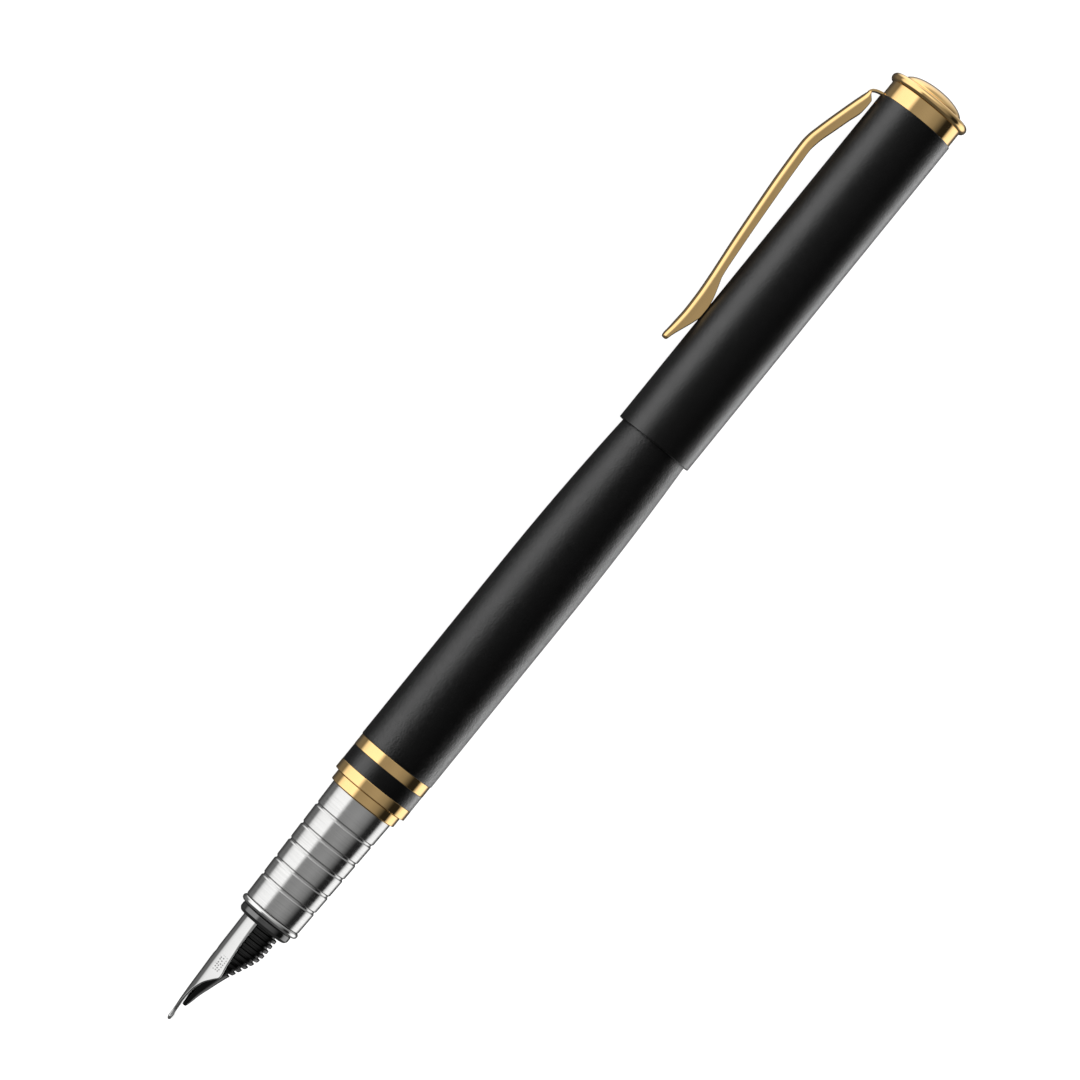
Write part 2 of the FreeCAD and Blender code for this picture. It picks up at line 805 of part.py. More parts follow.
def build_converter_tubes():
    """The converter's socket, clear tube and metal sleeve."""
    mouth = new_body("converter_mouth")
    turned(mouth, "socket", [
        (size["mouth_front_x"], size["mouth_socket"]),
        (size["mouth_front_x"], size["mouth_radius"]),
        (size["mouth_step_x"], size["mouth_radius"]),
        (size["mouth_step_x"], size["mouth_neck"]),
        (size["mouth_neck_end_x"], size["mouth_neck"]),
        (size["mouth_neck_end_x"], size["mouth_channel"]),
        (size["mouth_socket_end_x"], size["mouth_channel"]),
        (size["mouth_socket_end_x"], size["mouth_socket"]),
    ])
    reservoir = new_body("converter_reservoir")
    front = size["mouth_step_x"] + size["part_gap"]
    tube = shell(size["reservoir_bore"], size["mouth_radius"], front, size["reservoir_end_x"])
    turned(reservoir, "ink_tube", tube)
    sleeve = new_body("converter_sleeve")
    turned(sleeve, "crimped_sleeve", [
        (size["sleeve_front_x"], size["sleeve_bore"]),
        (size["sleeve_front_x"], size["sleeve_radius"]),
        (size["sleeve_end_x"], size["sleeve_radius"]),
        (size["sleeve_end_x"], size["sleeve_lip"]),
        (size["sleeve_lip_x"], size["sleeve_lip"]),
        (size["sleeve_lip_x"], size["sleeve_bore"]),
    ])
    return [mouth, reservoir, sleeve]


def build_piston():
    """The rubber piston: two sealing lips with a waist between them, and a socket for the rod."""
    body = new_body("converter_piston")
    front, back = size["piston_front_x"], size["piston_back_x"]
    lip, waist, width = size["piston_lip"], size["piston_waist"], size["piston_lip_width"]
    turned(body, "seal", [
        (front, AXIS),
        (front, lip),
        (front + width, lip),
        (front + width, waist),
        (back - width, waist),
        (back - width, lip),
        (back, lip),
        (back, size["piston_socket"]),
        (size["piston_socket_x"], size["piston_socket"]),
        (size["piston_socket_x"], AXIS),
    ])
    return body


def flats(half, radius):
    """The two outlines that cut a pair of flats on a round bar, across y."""
    far = radius + size["cut_margin"]
    return [rectangle(half, -far, far, far), rectangle(-far, -far, -half, far)]


def build_rod():
    """The drive rod: a thin tip in the piston and a long shank with two flats."""
    body = new_body("converter_rod")
    turned(body, "rod", [
        (size["piston_socket_x"], AXIS),
        (size["piston_socket_x"], size["rod_tip"]),
        (size["piston_back_x"], size["rod_tip"]),
        (size["piston_back_x"], size["rod_radius"]),
        (size["rod_end_x"], size["rod_radius"]),
        (size["rod_end_x"], AXIS),
    ])
    sides = flats(size["rod_flat_half"], size["rod_radius"])
    padded(body, "rod_flats", "YZ_Plane", sides, size["rod_end_x"] * THROUGH, middle=True, kind="Pocket")
    return body


def build_guide():
    """The guide bush: its hole has two flats, so the rod slides in it and can't turn."""
    body = new_body("converter_guide")
    front = size["reservoir_end_x"] + size["part_gap"]
    turned(body, "guide", rectangle(front, AXIS, size["guide_end_x"], size["mouth_radius"]))
    half, radius = size["guide_flat_half"], size["guide_hole"]
    height = (radius.value**2 - half.value**2) ** 0.5
    rise = Size(f"sqrt({radius.text} ^ 2 - {half.text} ^ 2)", height)
    hole = [(half, -rise), (half, rise, radius, 1), (-half, rise), (-half, -rise, radius, 1)]
    padded(body, "guide_hole", "YZ_Plane", [hole], size["guide_end_x"] * THROUGH, middle=True, kind="Pocket")
    return body


def build_knob():
    """The converter's turning knob: a nut shank held in the sleeve and a ribbed head."""
    body = new_body("converter_knob")
    head, head_end = size["knob_head"], size["knob_end_x"]
    arc = size["knob_end_arc"]
    turned(body, "knob", [
        (size["knob_front_x"], size["knob_bore"]),
        (size["knob_front_x"], size["knob_shank"]),
        (size["knob_shank_end_x"], size["knob_shank"]),
        (size["knob_shank_end_x"], size["knob_neck"]),
        (size["knob_head_x"], size["knob_neck"]),
        (size["knob_head_x"], head),
        (head_end - arc, head, arc, -1),
        (head_end, head - arc),
        (head_end, AXIS),
        (size["knob_bore_end_x"], AXIS),
        (size["knob_bore_end_x"], size["knob_bore"]),
    ])
    half = size["knob_rib_width"] / 2
    start, end = size["knob_ribs_start_x"], size["knob_ribs_end_x"]
    flute = rectangle(start, -half, end, half)
    depth = size["knob_rib_depth"]
    sketch = new_sketch(body, "flute_outline", "XY_Plane", head - depth)
    draw_outline(sketch, flute)
    cut = body.newObject("PartDesign::Pocket", "flute")
    cut.Profile = sketch
    cut.Reversed = True
    bind(cut, Length=depth + size["cut_margin"])
    doc.recompute()
    ring = body.newObject("PartDesign::PolarPattern", "flutes")
    ring.Originals = [cut]
    ring.Axis = (origin_feature(body, "X_Axis"), [""])
    ring.Angle = 360
    bind(ring, Occurrences=size["knob_ribs"])
    body.Tip = ring
    doc.recompute()
    return body


def build_cap_tube():
    """The cap tube: thin walls, open at the mouth, and a floor with a hole for the screw."""
    body = new_body("cap_tube")
    mouth, end = size["cap_mouth_x"], size["cap_end_x"]
    tube = turned(body, "tube", [
        (mouth, size["cap_bore"]),
        (mouth, size["cap_radius"]),
        (end, size["cap_radius"]),
        (end, size["stud_hole"]),
        (size["cap_floor_x"], size["stud_hole"]),
        (size["cap_floor_x"], size["cap_bore"]),
    ])
    places = [(mouth, size["cap_radius"]), (end, size["cap_radius"])]
    eased(body, "tube_edges", tube, places, size["cap_edge"])
    return body


def build_inner_cap():
    """The plastic liner: a grip for the barrel's tail, a snap rib for the nose ring, and the nib's space."""
    body = new_body("inner_cap")
    turned(body, "liner", [
        (size["liner_front_x"], size["liner_grip"]),
        (size["liner_front_x"], size["liner_radius"]),
        (size["liner_end_x"], size["liner_radius"]),
        (size["liner_end_x"], size["stud_hole"]),
        (size["liner_floor_x"], size["stud_hole"]),
        (size["liner_floor_x"], size["liner_nib_space"]),
        (size["liner_nib_x"], size["liner_nib_space"]),
        (size["liner_pocket_end_x"], size["liner_pocket"]),
        (size["liner_pocket_x"], size["liner_pocket"]),
        (size["liner_snap_end_x"], size["liner_snap"]),
        (size["liner_snap_x"], size["liner_snap"]),
        (size["liner_grip_end_x"], size["liner_grip"]),
    ])
    return body


def build_clip_ring():
    """The clip's ring: a washer with a short tab that comes out where the clip's strap starts."""
    body = new_body("clip_ring")
    front, back = size["cap_end_x"], size["clip_ring_back_x"]
    turned(body, "washer", shell(size["stud_hole"], size["clip_ring_radius"], front, back))
    half = size["clip_tab_half"]
    low = size["clip_ring_radius"] - size["cut_margin"]
    tab = rectangle(-half, low, half, size["clip_tab_height"])
    padded(body, "tab", "YZ_Plane", [tab], back - front, offset=front)
    return body


def build_cap_end():
    """The collar, the rim bead and the domed finial at the cap's end."""
    collar = new_body("cap_collar")
    front, back = size["clip_ring_back_x"], size["collar_back_x"]
    solid = turned(collar, "collar", [
        (front, size["stud_hole"]),
        (front, size["collar_radius"]),
        (back, size["collar_radius"]),
        (back, size["boss_bore"]),
        (size["collar_web_x"], size["boss_bore"]),
        (size["collar_web_x"], size["stud_hole"]),
    ])
    eased(collar, "collar_edge", solid, [(front, size["collar_radius"])], size["cap_edge"])
    rim = new_body("cap_rim")
    turned(rim, "rim", [
        (back, size["boss_bore"]),
        (back, size["rim_shoulder"], size["rim_arc"], -1),
        (size["rim_back_x"], size["rim_shoulder"]),
        (size["rim_back_x"], size["boss_bore"]),
    ])
    finial = new_body("finial")
    base_x = size["rim_back_x"] + size["finial_land"]
    turned(finial, "dome", [
        (size["collar_web_x"], size["screw_thread"]),
        (size["collar_web_x"], size["finial_boss"]),
        (size["rim_back_x"], size["finial_boss"]),
        (size["rim_back_x"], size["finial_base"]),
        (base_x, size["finial_base"], size["finial_dome_arc"], -1),
        (size["finial_apex_x"], AXIS),
        (size["screw_end_x"], AXIS),
        (size["screw_end_x"], size["screw_thread"]),
    ])
    return [collar, rim, finial]


def build_screw():
    """The slotted screw that clamps the cap's pieces together."""
    body = new_body("finial_screw")
    head_back = size["liner_floor_x"] - size["part_gap"]
    turned(body, "screw", [
        (size["screw_head_x"], AXIS),
        (size["screw_head_x"], size["screw_head"]),
        (head_back, size["screw_head"]),
        (head_back, size["screw_thread"]),
        (size["screw_end_x"], size["screw_thread"]),
        (size["screw_end_x"], AXIS),
    ])
    half = size["screw_slot_width"] / 2
    head_x = size["screw_head_x"]
    slot = rectangle(head_x - size["cut_margin"], -half, head_x + size["screw_slot_depth"], half)
    padded(body, "driver_slot", "XZ_Plane", [slot], size["screw_head"] * THROUGH, middle=True, kind="Pocket")
    return body


def clip_middle_line(x):
    """The height halfway between the clip's outer edge and its underside, at x."""
    stations = (("tip_x", "tip_high", "tip_low"), ("flare_x", "flare_height", "pad_height"),
                ("neck_x", "neck_height", "under_neck_height"), ("bend_x", "bend_height", "under_height"),
                ("end_x", "end_height", "end_low"))
    line = []
    for place, high, low in stations:
        middle = (size[f"clip_{high}"] + size[f"clip_{low}"]) / 2
        line.append((size[f"clip_{place}"].value, middle.value))
    for before, after in zip(line, line[1:]):
        if x <= after[0]:
            share = (x - before[0]) / (after[0] - before[0])
            return before[1] + (after[1] - before[1]) * share
    return line[-1][1]


def build_clip():
    """The clip's arm: a folded channel with a pad, a turned-up tip and a thin strap at its root."""
    body = new_body("clip")
    arm = padded(body, "arm", "XZ_Plane", [[
        (size["clip_tip_x"], size["clip_tip_low"]),
        (size["clip_tip_x"], size["clip_tip_high"], size["clip_flare_arc"], 1),
        (size["clip_flare_x"], size["clip_flare_height"]),
        (size["clip_neck_x"], size["clip_neck_height"]),
        (size["clip_bend_x"], size["clip_bend_height"], size["clip_bend_arc"], -1),
        (size["clip_bend_end_x"], size["clip_bend_end_height"]),
        (size["clip_end_x"], size["clip_end_height"]),
        (size["clip_lug_x"], size["clip_end_low"]),
        (size["clip_shelf_x"], size["clip_shelf_height"]),
        (size["clip_under_bend_x"], size["clip_under_bend_height"]),
        (size["clip_under_x"], size["clip_under_height"]),
        (size["clip_under_neck_x"], size["clip_under_neck_height"]),
        (size["clip_pad_back_x"], size["clip_pad_back_height"], size["clip_pad_arc"], -1),
        (size["clip_pad_x"], size["clip_pad_height"]),
        (size["clip_tip_back_x"], size["clip_tip_low"] - size["clip_wall"] / 2),
    ]], size["clip_half"] * 2, middle=True)
    wall, roof = size["clip_wall"], size["clip_roof"]
    inside = size["clip_half"] - wall
    channel = [
        (size["clip_under_neck_x"], size["clip_pad_height"]),
        (size["clip_under_neck_x"], size["clip_neck_height"] - roof),
        (size["clip_bend_x"], size["clip_bend_height"] - roof),
        (size["clip_bend_end_x"], size["clip_bend_end_height"] - roof),
        (size["clip_end_x"] + wall, size["clip_end_height"] - roof),
        (size["clip_end_x"] + wall, size["clip_pad_height"]),
    ]
    edges = []
    for index, edge in enumerate(arm.Shape.Edges, start=1):
        box = edge.BoundBox
        on_side = abs(abs(box.YMin) - size["clip_half"].value) < TOLERANCE and box.YLength < TOLERANCE
        chord = edge.valueAt(edge.LastParameter) - edge.valueAt(edge.FirstParameter)
        middle = edge.valueAt((edge.FirstParameter + edge.LastParameter) / 2)
        upper = middle.z > clip_middle_line(middle.x)
        if on_side and upper and abs(chord.x) > END_EDGE:
            edges.append(f"Edge{index}")
    rounded = body.newObject("PartDesign::Fillet", "arm_rounding")
    rounded.Base = (arm, edges)
    bind(rounded, Radius=size["clip_round"])
    doc.recompute()
    padded(body, "channel", "XZ_Plane", [channel], inside * 2, middle=True, kind="Pocket")
    strap_wall = size["strap_wall"]
    strap = [
        (size["clip_end_x"] - strap_wall, size["clip_end_height"] - strap_wall),
        (size["clip_end_x"] - strap_wall, size["clip_end_height"]),
        (size["clip_end_x"], size["clip_end_height"]),
        (size["strap_knee_x"], size["strap_knee_height"]),
        (size["strap_back_x"], size["strap_back_height"]),
        (size["strap_back_x"], size["strap_low"]),
        (size["strap_back_x"] - strap_wall, size["strap_low"]),
        (size["strap_back_x"] - strap_wall, size["strap_back_height"] - strap_wall / 2),
        (size["strap_knee_x"] - strap_wall / 2, size["strap_knee_height"] - strap_wall),
        (size["clip_end_x"], size["clip_end_height"] - strap_wall),
    ]
    padded(body, "strap", "XZ_Plane", [strap], size["strap_half"] * 2, middle=True)
    return body


def lay_down(body):
    """Puts a sub-part in the pen's resting place: rolled onto the clip, the axis above the table."""
    angle = size["pen_roll_angle"].value
    height = size["axis_height"].value
    base = FreeCAD.Vector(-size["pen_middle_x"].value, size["axis_side_shift"].value, height)
    body.Placement = FreeCAD.Placement(base, FreeCAD.Rotation(FreeCAD.Vector(1, 0, 0), angle))


bodies = [
    build_nib(),
    build_feed(),
    build_housing(),
    build_nose_ring(),
    build_grip(),
    build_section_ring(),
    build_coupler(),
    *build_barrel_rings(),
    build_bush(),
    build_barrel(),
    *build_converter_tubes(),
    build_piston(),
    build_rod(),
    build_guide(),
    build_knob(),
    build_cap_tube(),
    build_inner_cap(),
    build_clip_ring(),
    *build_cap_end(),
    build_screw(),
    build_clip(),
]
for body in bodies:
    lay_down(body)
doc.recompute()

os.makedirs("parts", exist_ok=True)
for item in doc.Objects:
    if "Invalid" in item.State or "Error" in item.State:
        raise RuntimeError(f"{item.Label} did not compute: {item.State}")
for body in bodies:
    if body.Shape.isNull() or not body.Shape.isValid():
        raise RuntimeError(f"{body.Label} has no valid shape")
    body.Shape.exportStep(f"parts/{body.Label}.step")
    box = body.Shape.BoundBox
    print(body.Label, round(body.Shape.Volume, 2), len(body.Shape.Solids), [round(v, 2) for v in (
        box.XMin, box.XMax, box.YMin, box.YMax, box.ZMin, box.ZMax)])
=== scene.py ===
import bmesh
import bpy
import json
import math
from mathutils import Matrix, Vector


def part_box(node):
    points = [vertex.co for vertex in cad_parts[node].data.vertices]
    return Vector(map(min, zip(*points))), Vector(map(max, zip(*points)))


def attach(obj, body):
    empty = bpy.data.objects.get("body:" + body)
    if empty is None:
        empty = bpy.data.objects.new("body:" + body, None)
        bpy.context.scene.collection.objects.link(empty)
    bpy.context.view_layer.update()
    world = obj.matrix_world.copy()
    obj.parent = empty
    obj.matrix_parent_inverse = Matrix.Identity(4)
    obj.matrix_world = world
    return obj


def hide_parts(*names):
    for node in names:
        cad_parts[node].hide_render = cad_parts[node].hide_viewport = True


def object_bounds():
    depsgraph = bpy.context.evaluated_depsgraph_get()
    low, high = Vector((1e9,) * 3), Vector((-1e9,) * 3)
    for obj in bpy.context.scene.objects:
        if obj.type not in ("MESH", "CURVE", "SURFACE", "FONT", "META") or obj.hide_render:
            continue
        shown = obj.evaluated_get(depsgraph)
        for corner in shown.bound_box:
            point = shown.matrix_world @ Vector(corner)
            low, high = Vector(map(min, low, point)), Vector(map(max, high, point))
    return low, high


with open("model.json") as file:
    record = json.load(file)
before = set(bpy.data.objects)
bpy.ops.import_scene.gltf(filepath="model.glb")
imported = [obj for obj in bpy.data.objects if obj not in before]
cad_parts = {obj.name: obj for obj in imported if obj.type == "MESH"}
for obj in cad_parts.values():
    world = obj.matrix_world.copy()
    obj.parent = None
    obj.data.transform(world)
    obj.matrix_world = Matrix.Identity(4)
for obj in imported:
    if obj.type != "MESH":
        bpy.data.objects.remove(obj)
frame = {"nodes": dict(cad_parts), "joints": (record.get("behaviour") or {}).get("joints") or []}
cad_low, cad_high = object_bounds()

# ---------------------------------------------------------------- the pen's own frame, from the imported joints
# Sizes below are in millimetres: x runs from the nib's tip to the cap's dome, "up" points to the clip's side, and
# "across" lies beside it.

MM = 0.001
JOINTS = {joint["name"]: joint for joint in frame["joints"]}
AXIS_POINT = Vector(JOINTS["section_unscrew"]["pos_m"])
ALONG = Vector((1.0, 0.0, 0.0))
ACROSS = Vector(JOINTS["clip_flex"]["axis"]).normalized()
UP = ALONG.cross(ACROSS)
TIP_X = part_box("nib")[0].x
SEGMENTS, FINE_SEGMENTS, THREAD_SEGMENTS = 160, 192, 96
TURN = 2 * math.pi
MERGE_DISTANCE = 1e-8
TINY = 1e-6


def place(x, across, up):
    """A point of the pen's own frame, in metres in the row frame."""
    base = Vector((TIP_X + x * MM, AXIS_POINT.y, AXIS_POINT.z))
    return base + ACROSS * (across * MM) + UP * (up * MM)


def extent(node):
    """A round node's front, back and radius."""
    low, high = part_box(node)
    return (low.x - TIP_X) / MM, (high.x - TIP_X) / MM, (high.y - low.y) / 2 / MM


# ---------------------------------------------------------------- mesh tools


def make_piece(name, points, faces, body, slot, material, nodes, crease=32.0):
    """A mesh object from points of the pen's frame, riding on a body and standing for CAD nodes."""
    mesh = bpy.data.meshes.new(name)
    mesh.from_pydata([place(*point) for point in points], [], faces)
    work = bmesh.new()
    work.from_mesh(mesh)
    bmesh.ops.remove_doubles(work, verts=work.verts, dist=MERGE_DISTANCE)
    bmesh.ops.recalc_face_normals(work, faces=work.faces)
    work.to_mesh(mesh)
    work.free()
    mesh.polygons.foreach_set("use_smooth", [True] * len(mesh.polygons))
    mesh.set_sharp_from_angle(angle=math.radians(crease))
    mesh.materials.append(material)
    piece = bpy.data.objects.new(name, mesh)
    bpy.context.scene.collection.objects.link(piece)
    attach(piece, body)
    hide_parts(*nodes)


def rounded(corners, steps=6):
    """A closed outline from corners (x, radius) or (x, radius, fillet), with each fillet drawn as an arc."""
    nearly_straight = 1e-3
    outline = []
    count = len(corners)
    for index, corner in enumerate(corners):
        here = Vector(corner[:2])
        if len(corner) < 3 or corner[2] <= 0:
            outline.append(tuple(here))
            continue
        before = (Vector(corners[index - 1][:2]) - here).normalized()
        after = (Vector(corners[(index + 1) % count][:2]) - here).normalized()
        angle = before.angle(after)
        if math.pi - angle < nearly_straight:
            outline.append(tuple(here))
            continue
        reach = corner[2] / math.tan(angle / 2)
        bisector = (before + after).normalized()
        centre = here + bisector * (corner[2] / math.sin(angle / 2))
        start = here + before * reach - centre
        end = here + after * reach - centre
        sweep = start.angle_signed(end)
        for step in range(steps + 1):
            spoke = Matrix.Rotation(-sweep * step / steps, 2) @ start
            outline.append(tuple(centre + spoke))
    return outline


def bulge(start, end, height, steps):
    """Points after start up to end, on an arc that stands height above the chord (to its left)."""
    start, end = Vector(start), Vector(end)
    chord = end - start
    length = chord.length
    radius = (length * length / 4 + height * height) / (2 * height)
    half = math.asin(min(1.0, length / 2 / radius))
    left = Vector((-chord.y, chord.x)).normalized()
    centre = (start + end) / 2 - left * math.sqrt(max(radius * radius - length * length / 4, 0.0))
    points = []
    for step in range(1, steps + 1):
        angle = -half + 2 * half * step / steps
        points.append(tuple(centre + left * radius * math.cos(angle) + chord / length * radius * math.sin(angle)))
    return points


def lathe(outline, segments=SEGMENTS, swell=None):
    """Points and faces of a closed outline (x, radius) swept round the axis. swell(x, r, angle) changes r."""
    points, rings, faces = [], [], []
    for x, radius in outline:
        if radius < TINY:
            rings.append([len(points)] * segments)
            points.append((x, 0.0, 0.0))
            continue
        ring = []
        for step in range(segments):
            angle = TURN * step / segments
            r = swell(x, radius, angle) if swell else radius
            ring.append(len(points))
            points.append((x, r * math.sin(angle), r * math.cos(angle)))
        rings.append(ring)
    for index, ring in enumerate(rings):
        following = rings[(index + 1) % len(rings)]
        for step in range(segments):
            after = (step + 1) % segments
            quad = [ring[step], ring[after], following[after], following[step]]
            corners = list(dict.fromkeys(quad))
            if len(corners) > 2:
                faces.append(corners)
    return points, faces


def turned(name, outline, body, slot, material, nodes, segments=SEGMENTS, swell=None, **options):
    """A turned piece."""
    points, faces = lathe(outline, segments, swell)
    make_piece(name, points, faces, body, slot, material, nodes, **options)


def tube_faces(rings):
    """Faces that skin a list of closed loops of the same length, with both ends closed."""
    faces = []
    count = len(rings[0])
    for first, second in zip(rings, rings[1:]):
        for step in range(count):
            after = (step + 1) % count
            faces.append([first[step], first[after], second[after], second[step]])
    faces.append(list(rings[0]))
    faces.append(list(reversed(rings[-1])))
    return faces


def add_loop(points, rings, loop):
    """One more closed loop for a tube: its points, and a ring of their numbers."""
    rings.append(list(range(len(points), len(points) + len(loop))))
    points += loop


def joined(*parts):
    """Several lists of points and faces as one."""
    points, faces = [], []
    for part_points, part_faces in parts:
        offset = len(points)
        points += part_points
        faces += [[index + offset for index in face] for face in part_faces]
    return points, faces


def smooth_between(stations, x):
    """A smooth curve through (x, value) stations, flat-ended, with no overshoot."""
    if x <= stations[0][0]:
        return stations[0][1]
    if x >= stations[-1][0]:
        return stations[-1][1]
    slopes = []
    for left, right in zip(stations, stations[1:]):
        slopes.append((right[1] - left[1]) / (right[0] - left[0]))
    tangents = [slopes[0]]
    for before, after in zip(slopes, slopes[1:]):
        tangents.append(0.0 if before * after <= 0 else 2 * before * after / (before + after))
    tangents.append(slopes[-1])
    for index, (left, right) in enumerate(zip(stations, stations[1:])):
        if x <= right[0]:
            width = right[0] - left[0]
            share = (x - left[0]) / width
            from_left = (1 + 2 * share) * (1 - share) ** 2 * left[1]
            from_right = share * share * (3 - 2 * share) * right[1]
            left_slope = share * (1 - share) ** 2 * tangents[index]
            right_slope = share * share * (share - 1) * tangents[index + 1]
            return from_left + from_right + width * (left_slope + right_slope)
    return stations[-1][1]


def spread(start, end, count):
    """Evenly spaced values, ends included."""
    return [start + (end - start) * step / (count - 1) for step in range(count)]


# ---------------------------------------------------------------- material tools

# Texture scales are per metre. A noise or a smear is used between its low and its high value.
NOISE_LOW, NOISE_HIGH = 0.3, 0.7
SMEAR_LOW, SMEAR_HIGH = 0.3, 0.75
DRIFT_SCALE, SMEAR_SCALE = 260.0, 900.0
PLATE_HAIRS, NIB_HAIRS = (26000.0, 900.0, 900.0), (900.0, 9000.0, 9000.0)
BRUSHED_RINGS, BRUSHED_BANDS = (7000.0, 120.0, 120.0), (2600.0, 60.0, 60.0)
# The stippled patch on the nib: where it lies in x and in height, and its dots, which are pressed in and darkened
# with painted shade.
STIPPLE_X, STIPPLE_UP, STIPPLE_SOLID = (8.5, 10.9), (0.6, 1.75), 0.75
DOT_SCALE, DOT_INNER, DOT_OUTER, DOT_PAINTED_SHADE, DOT_MICRONS = 2900.0, 0.2, 0.36, 0.9, 6.0


def grey(level):
    return (level, level, level)


class Shader:
    """A material's node tree, with short calls for the nodes that its textures use."""

    def __init__(self, name):
        self.material = bpy.data.materials.new(name)
        self.material.use_nodes = True
        self.tree = self.material.node_tree
        self.bsdf = self.tree.nodes["Principled BSDF"]
        self.place = self.node("ShaderNodeTexCoord").outputs["Object"]

    def node(self, kind):
        return self.tree.nodes.new(kind)

    def link(self, source, target):
        self.tree.links.new(source, target)

    def put(self, **values):
        for key, value in values.items():
            self.bsdf.inputs[key.replace("_", " ")].default_value = value

    def stretched(self, scale):
        """Object coordinates times a scale for each direction."""
        mapping = self.node("ShaderNodeMapping")
        mapping.inputs["Scale"].default_value = scale
        self.link(self.place, mapping.inputs["Vector"])
        return mapping.outputs["Vector"]

    def noise(self, scale, detail=4.0, roughness=0.55, vector=None):
        texture = self.node("ShaderNodeTexNoise")
        texture.inputs["Scale"].default_value = scale
        texture.inputs["Detail"].default_value = detail
        texture.inputs["Roughness"].default_value = roughness
        self.link(vector or self.place, texture.inputs["Vector"])
        return texture.outputs["Fac"]

    def span(self, value, low, high, out_low, out_high):
        """A value carried from one range to another."""
        mapping = self.node("ShaderNodeMapRange")
        mapping.inputs["From Min"].default_value = low
        mapping.inputs["From Max"].default_value = high
        mapping.inputs["To Min"].default_value = out_low
        mapping.inputs["To Max"].default_value = out_high
        self.link(value, mapping.inputs["Value"])
        return mapping.outputs["Result"]

    def math(self, operation, *operands):
        node = self.node("ShaderNodeMath")
        node.operation = operation
        for socket, item in zip(node.inputs, operands):
            if isinstance(item, (int, float)):
                socket.default_value = item
            else:
                self.link(item, socket)
        return node.outputs["Value"]

    def blend(self, factor, first, second):
        """A colour between two colours."""
        return mixed(self.tree, factor, first, second)

    def clouds(self, noise, first, second):
        """A colour that a noise blends between two colours."""
        return self.blend(self.span(noise, NOISE_LOW, NOISE_HIGH, 0.0, 1.0), first, second)

    def patchy(self, noise, rough):
        """A roughness that a noise varies between two values."""
        self.roughness(self.span(noise, NOISE_LOW, NOISE_HIGH, *rough))

    def smeared(self, rough):
        """The roughness of polished metal that has been handled."""
        smears = self.noise(SMEAR_SCALE, 5.0, 0.6)
        self.roughness(self.span(smears, SMEAR_LOW, SMEAR_HIGH, *rough))

    def bump(self, height, microns, under=None):
        """A bump whose full height is given in microns."""
        node = self.node("ShaderNodeBump")
        node.inputs["Distance"].default_value = microns * 1e-6
        self.link(height, node.inputs["Height"])
        if under is not None:
            self.link(under, node.inputs["Normal"])
        return node.outputs["Normal"]

    def colour(self, socket):
        self.link(socket, self.bsdf.inputs["Base Color"])

    def roughness(self, socket):
        self.link(socket, self.bsdf.inputs["Roughness"])

    def normal(self, socket):
        self.link(socket, self.bsdf.inputs["Normal"])


def mixed(tree, factor, first, second):
    """A colour between two, each given as numbers or as a socket."""
    mix = tree.nodes.new("ShaderNodeMix")
    mix.data_type = "RGBA"
    for name, item in (("A", first), ("B", second)):
        if isinstance(item, bpy.types.NodeSocket):
            tree.links.new(item, mix.inputs[name])
        else:
            mix.inputs[name].default_value = (*item, 1.0)
    tree.links.new(factor, mix.inputs["Factor"])
    return mix.outputs["Result"]


def polished_metal(name, pale, deep, rough, wipe_microns):
    """Polished plate: faint colour drift, cloudy roughness from handling, and hairline wipe marks."""
    shader = Shader(name)
    shader.put(Metallic=1.0)
    shader.colour(shader.clouds(shader.noise(DRIFT_SCALE, 3.0), pale, deep))
    shader.smeared(rough)
    hairs = shader.noise(1.0, 2.0, 0.5, shader.stretched(PLATE_HAIRS))
    shader.normal(shader.bump(hairs, wipe_microns))
    return shader.material


def turned_steel(name):
    """Steel brushed round the axis: fine rings in the bump, roughness and tone, with stretched highlights."""
    shader = Shader(name)
    shader.put(Metallic=1.0, Anisotropic=0.55)
    rings = shader.noise(1.0, 6.0, 0.7, shader.stretched(BRUSHED_RINGS))
    bands = shader.noise(1.0, 3.0, 0.5, shader.stretched(BRUSHED_BANDS))
    shader.colour(shader.blend(shader.span(rings, 0.25, 0.75, 0.0, 1.0), (0.56, 0.558, 0.552), (0.7, 0.698, 0.69)))
    shader.patchy(bands, (0.1, 0.16))
    tangent = shader.node("ShaderNodeTangent")
    tangent.direction_type = "RADIAL"
    tangent.axis = "X"
    shader.link(tangent.outputs["Tangent"], shader.bsdf.inputs["Tangent"])
    shader.normal(shader.bump(rings, 0.9))
    return shader.material


def lacquer(name, level, grain_microns, rough):
    """Black lacquer on metal: a fine grain in the bump over a coarser one, and a patchy sheen."""
    grain, coarse_share, coarse_depth = 4600.0, 0.22, 0.3
    shader = Shader(name)
    shader.put(Specular_IOR_Level=0.14)
    fine = shader.noise(grain, 3.0, 0.6)
    coarse = shader.noise(grain * coarse_share, 2.0, 0.5)
    shader.colour(shader.clouds(coarse, grey(level), grey(level * 1.35)))
    shader.patchy(shader.noise(420.0, 4.0, 0.6), rough)
    shader.normal(shader.bump(fine, grain_microns, shader.bump(coarse, grain_microns * coarse_depth)))
    return shader.material


def moulded(name, tone, rough, microns=1.2):
    """Moulded plastic or rubber: a faint tool texture and an uneven sheen."""
    shader = Shader(name)
    shader.colour(shader.clouds(shader.noise(700.0, 3.0), tone, [part * 1.5 for part in tone]))
    shader.patchy(shader.noise(1500.0, 4.0), rough)
    shader.normal(shader.bump(shader.noise(9000.0, 2.0), microns))
    return shader.material


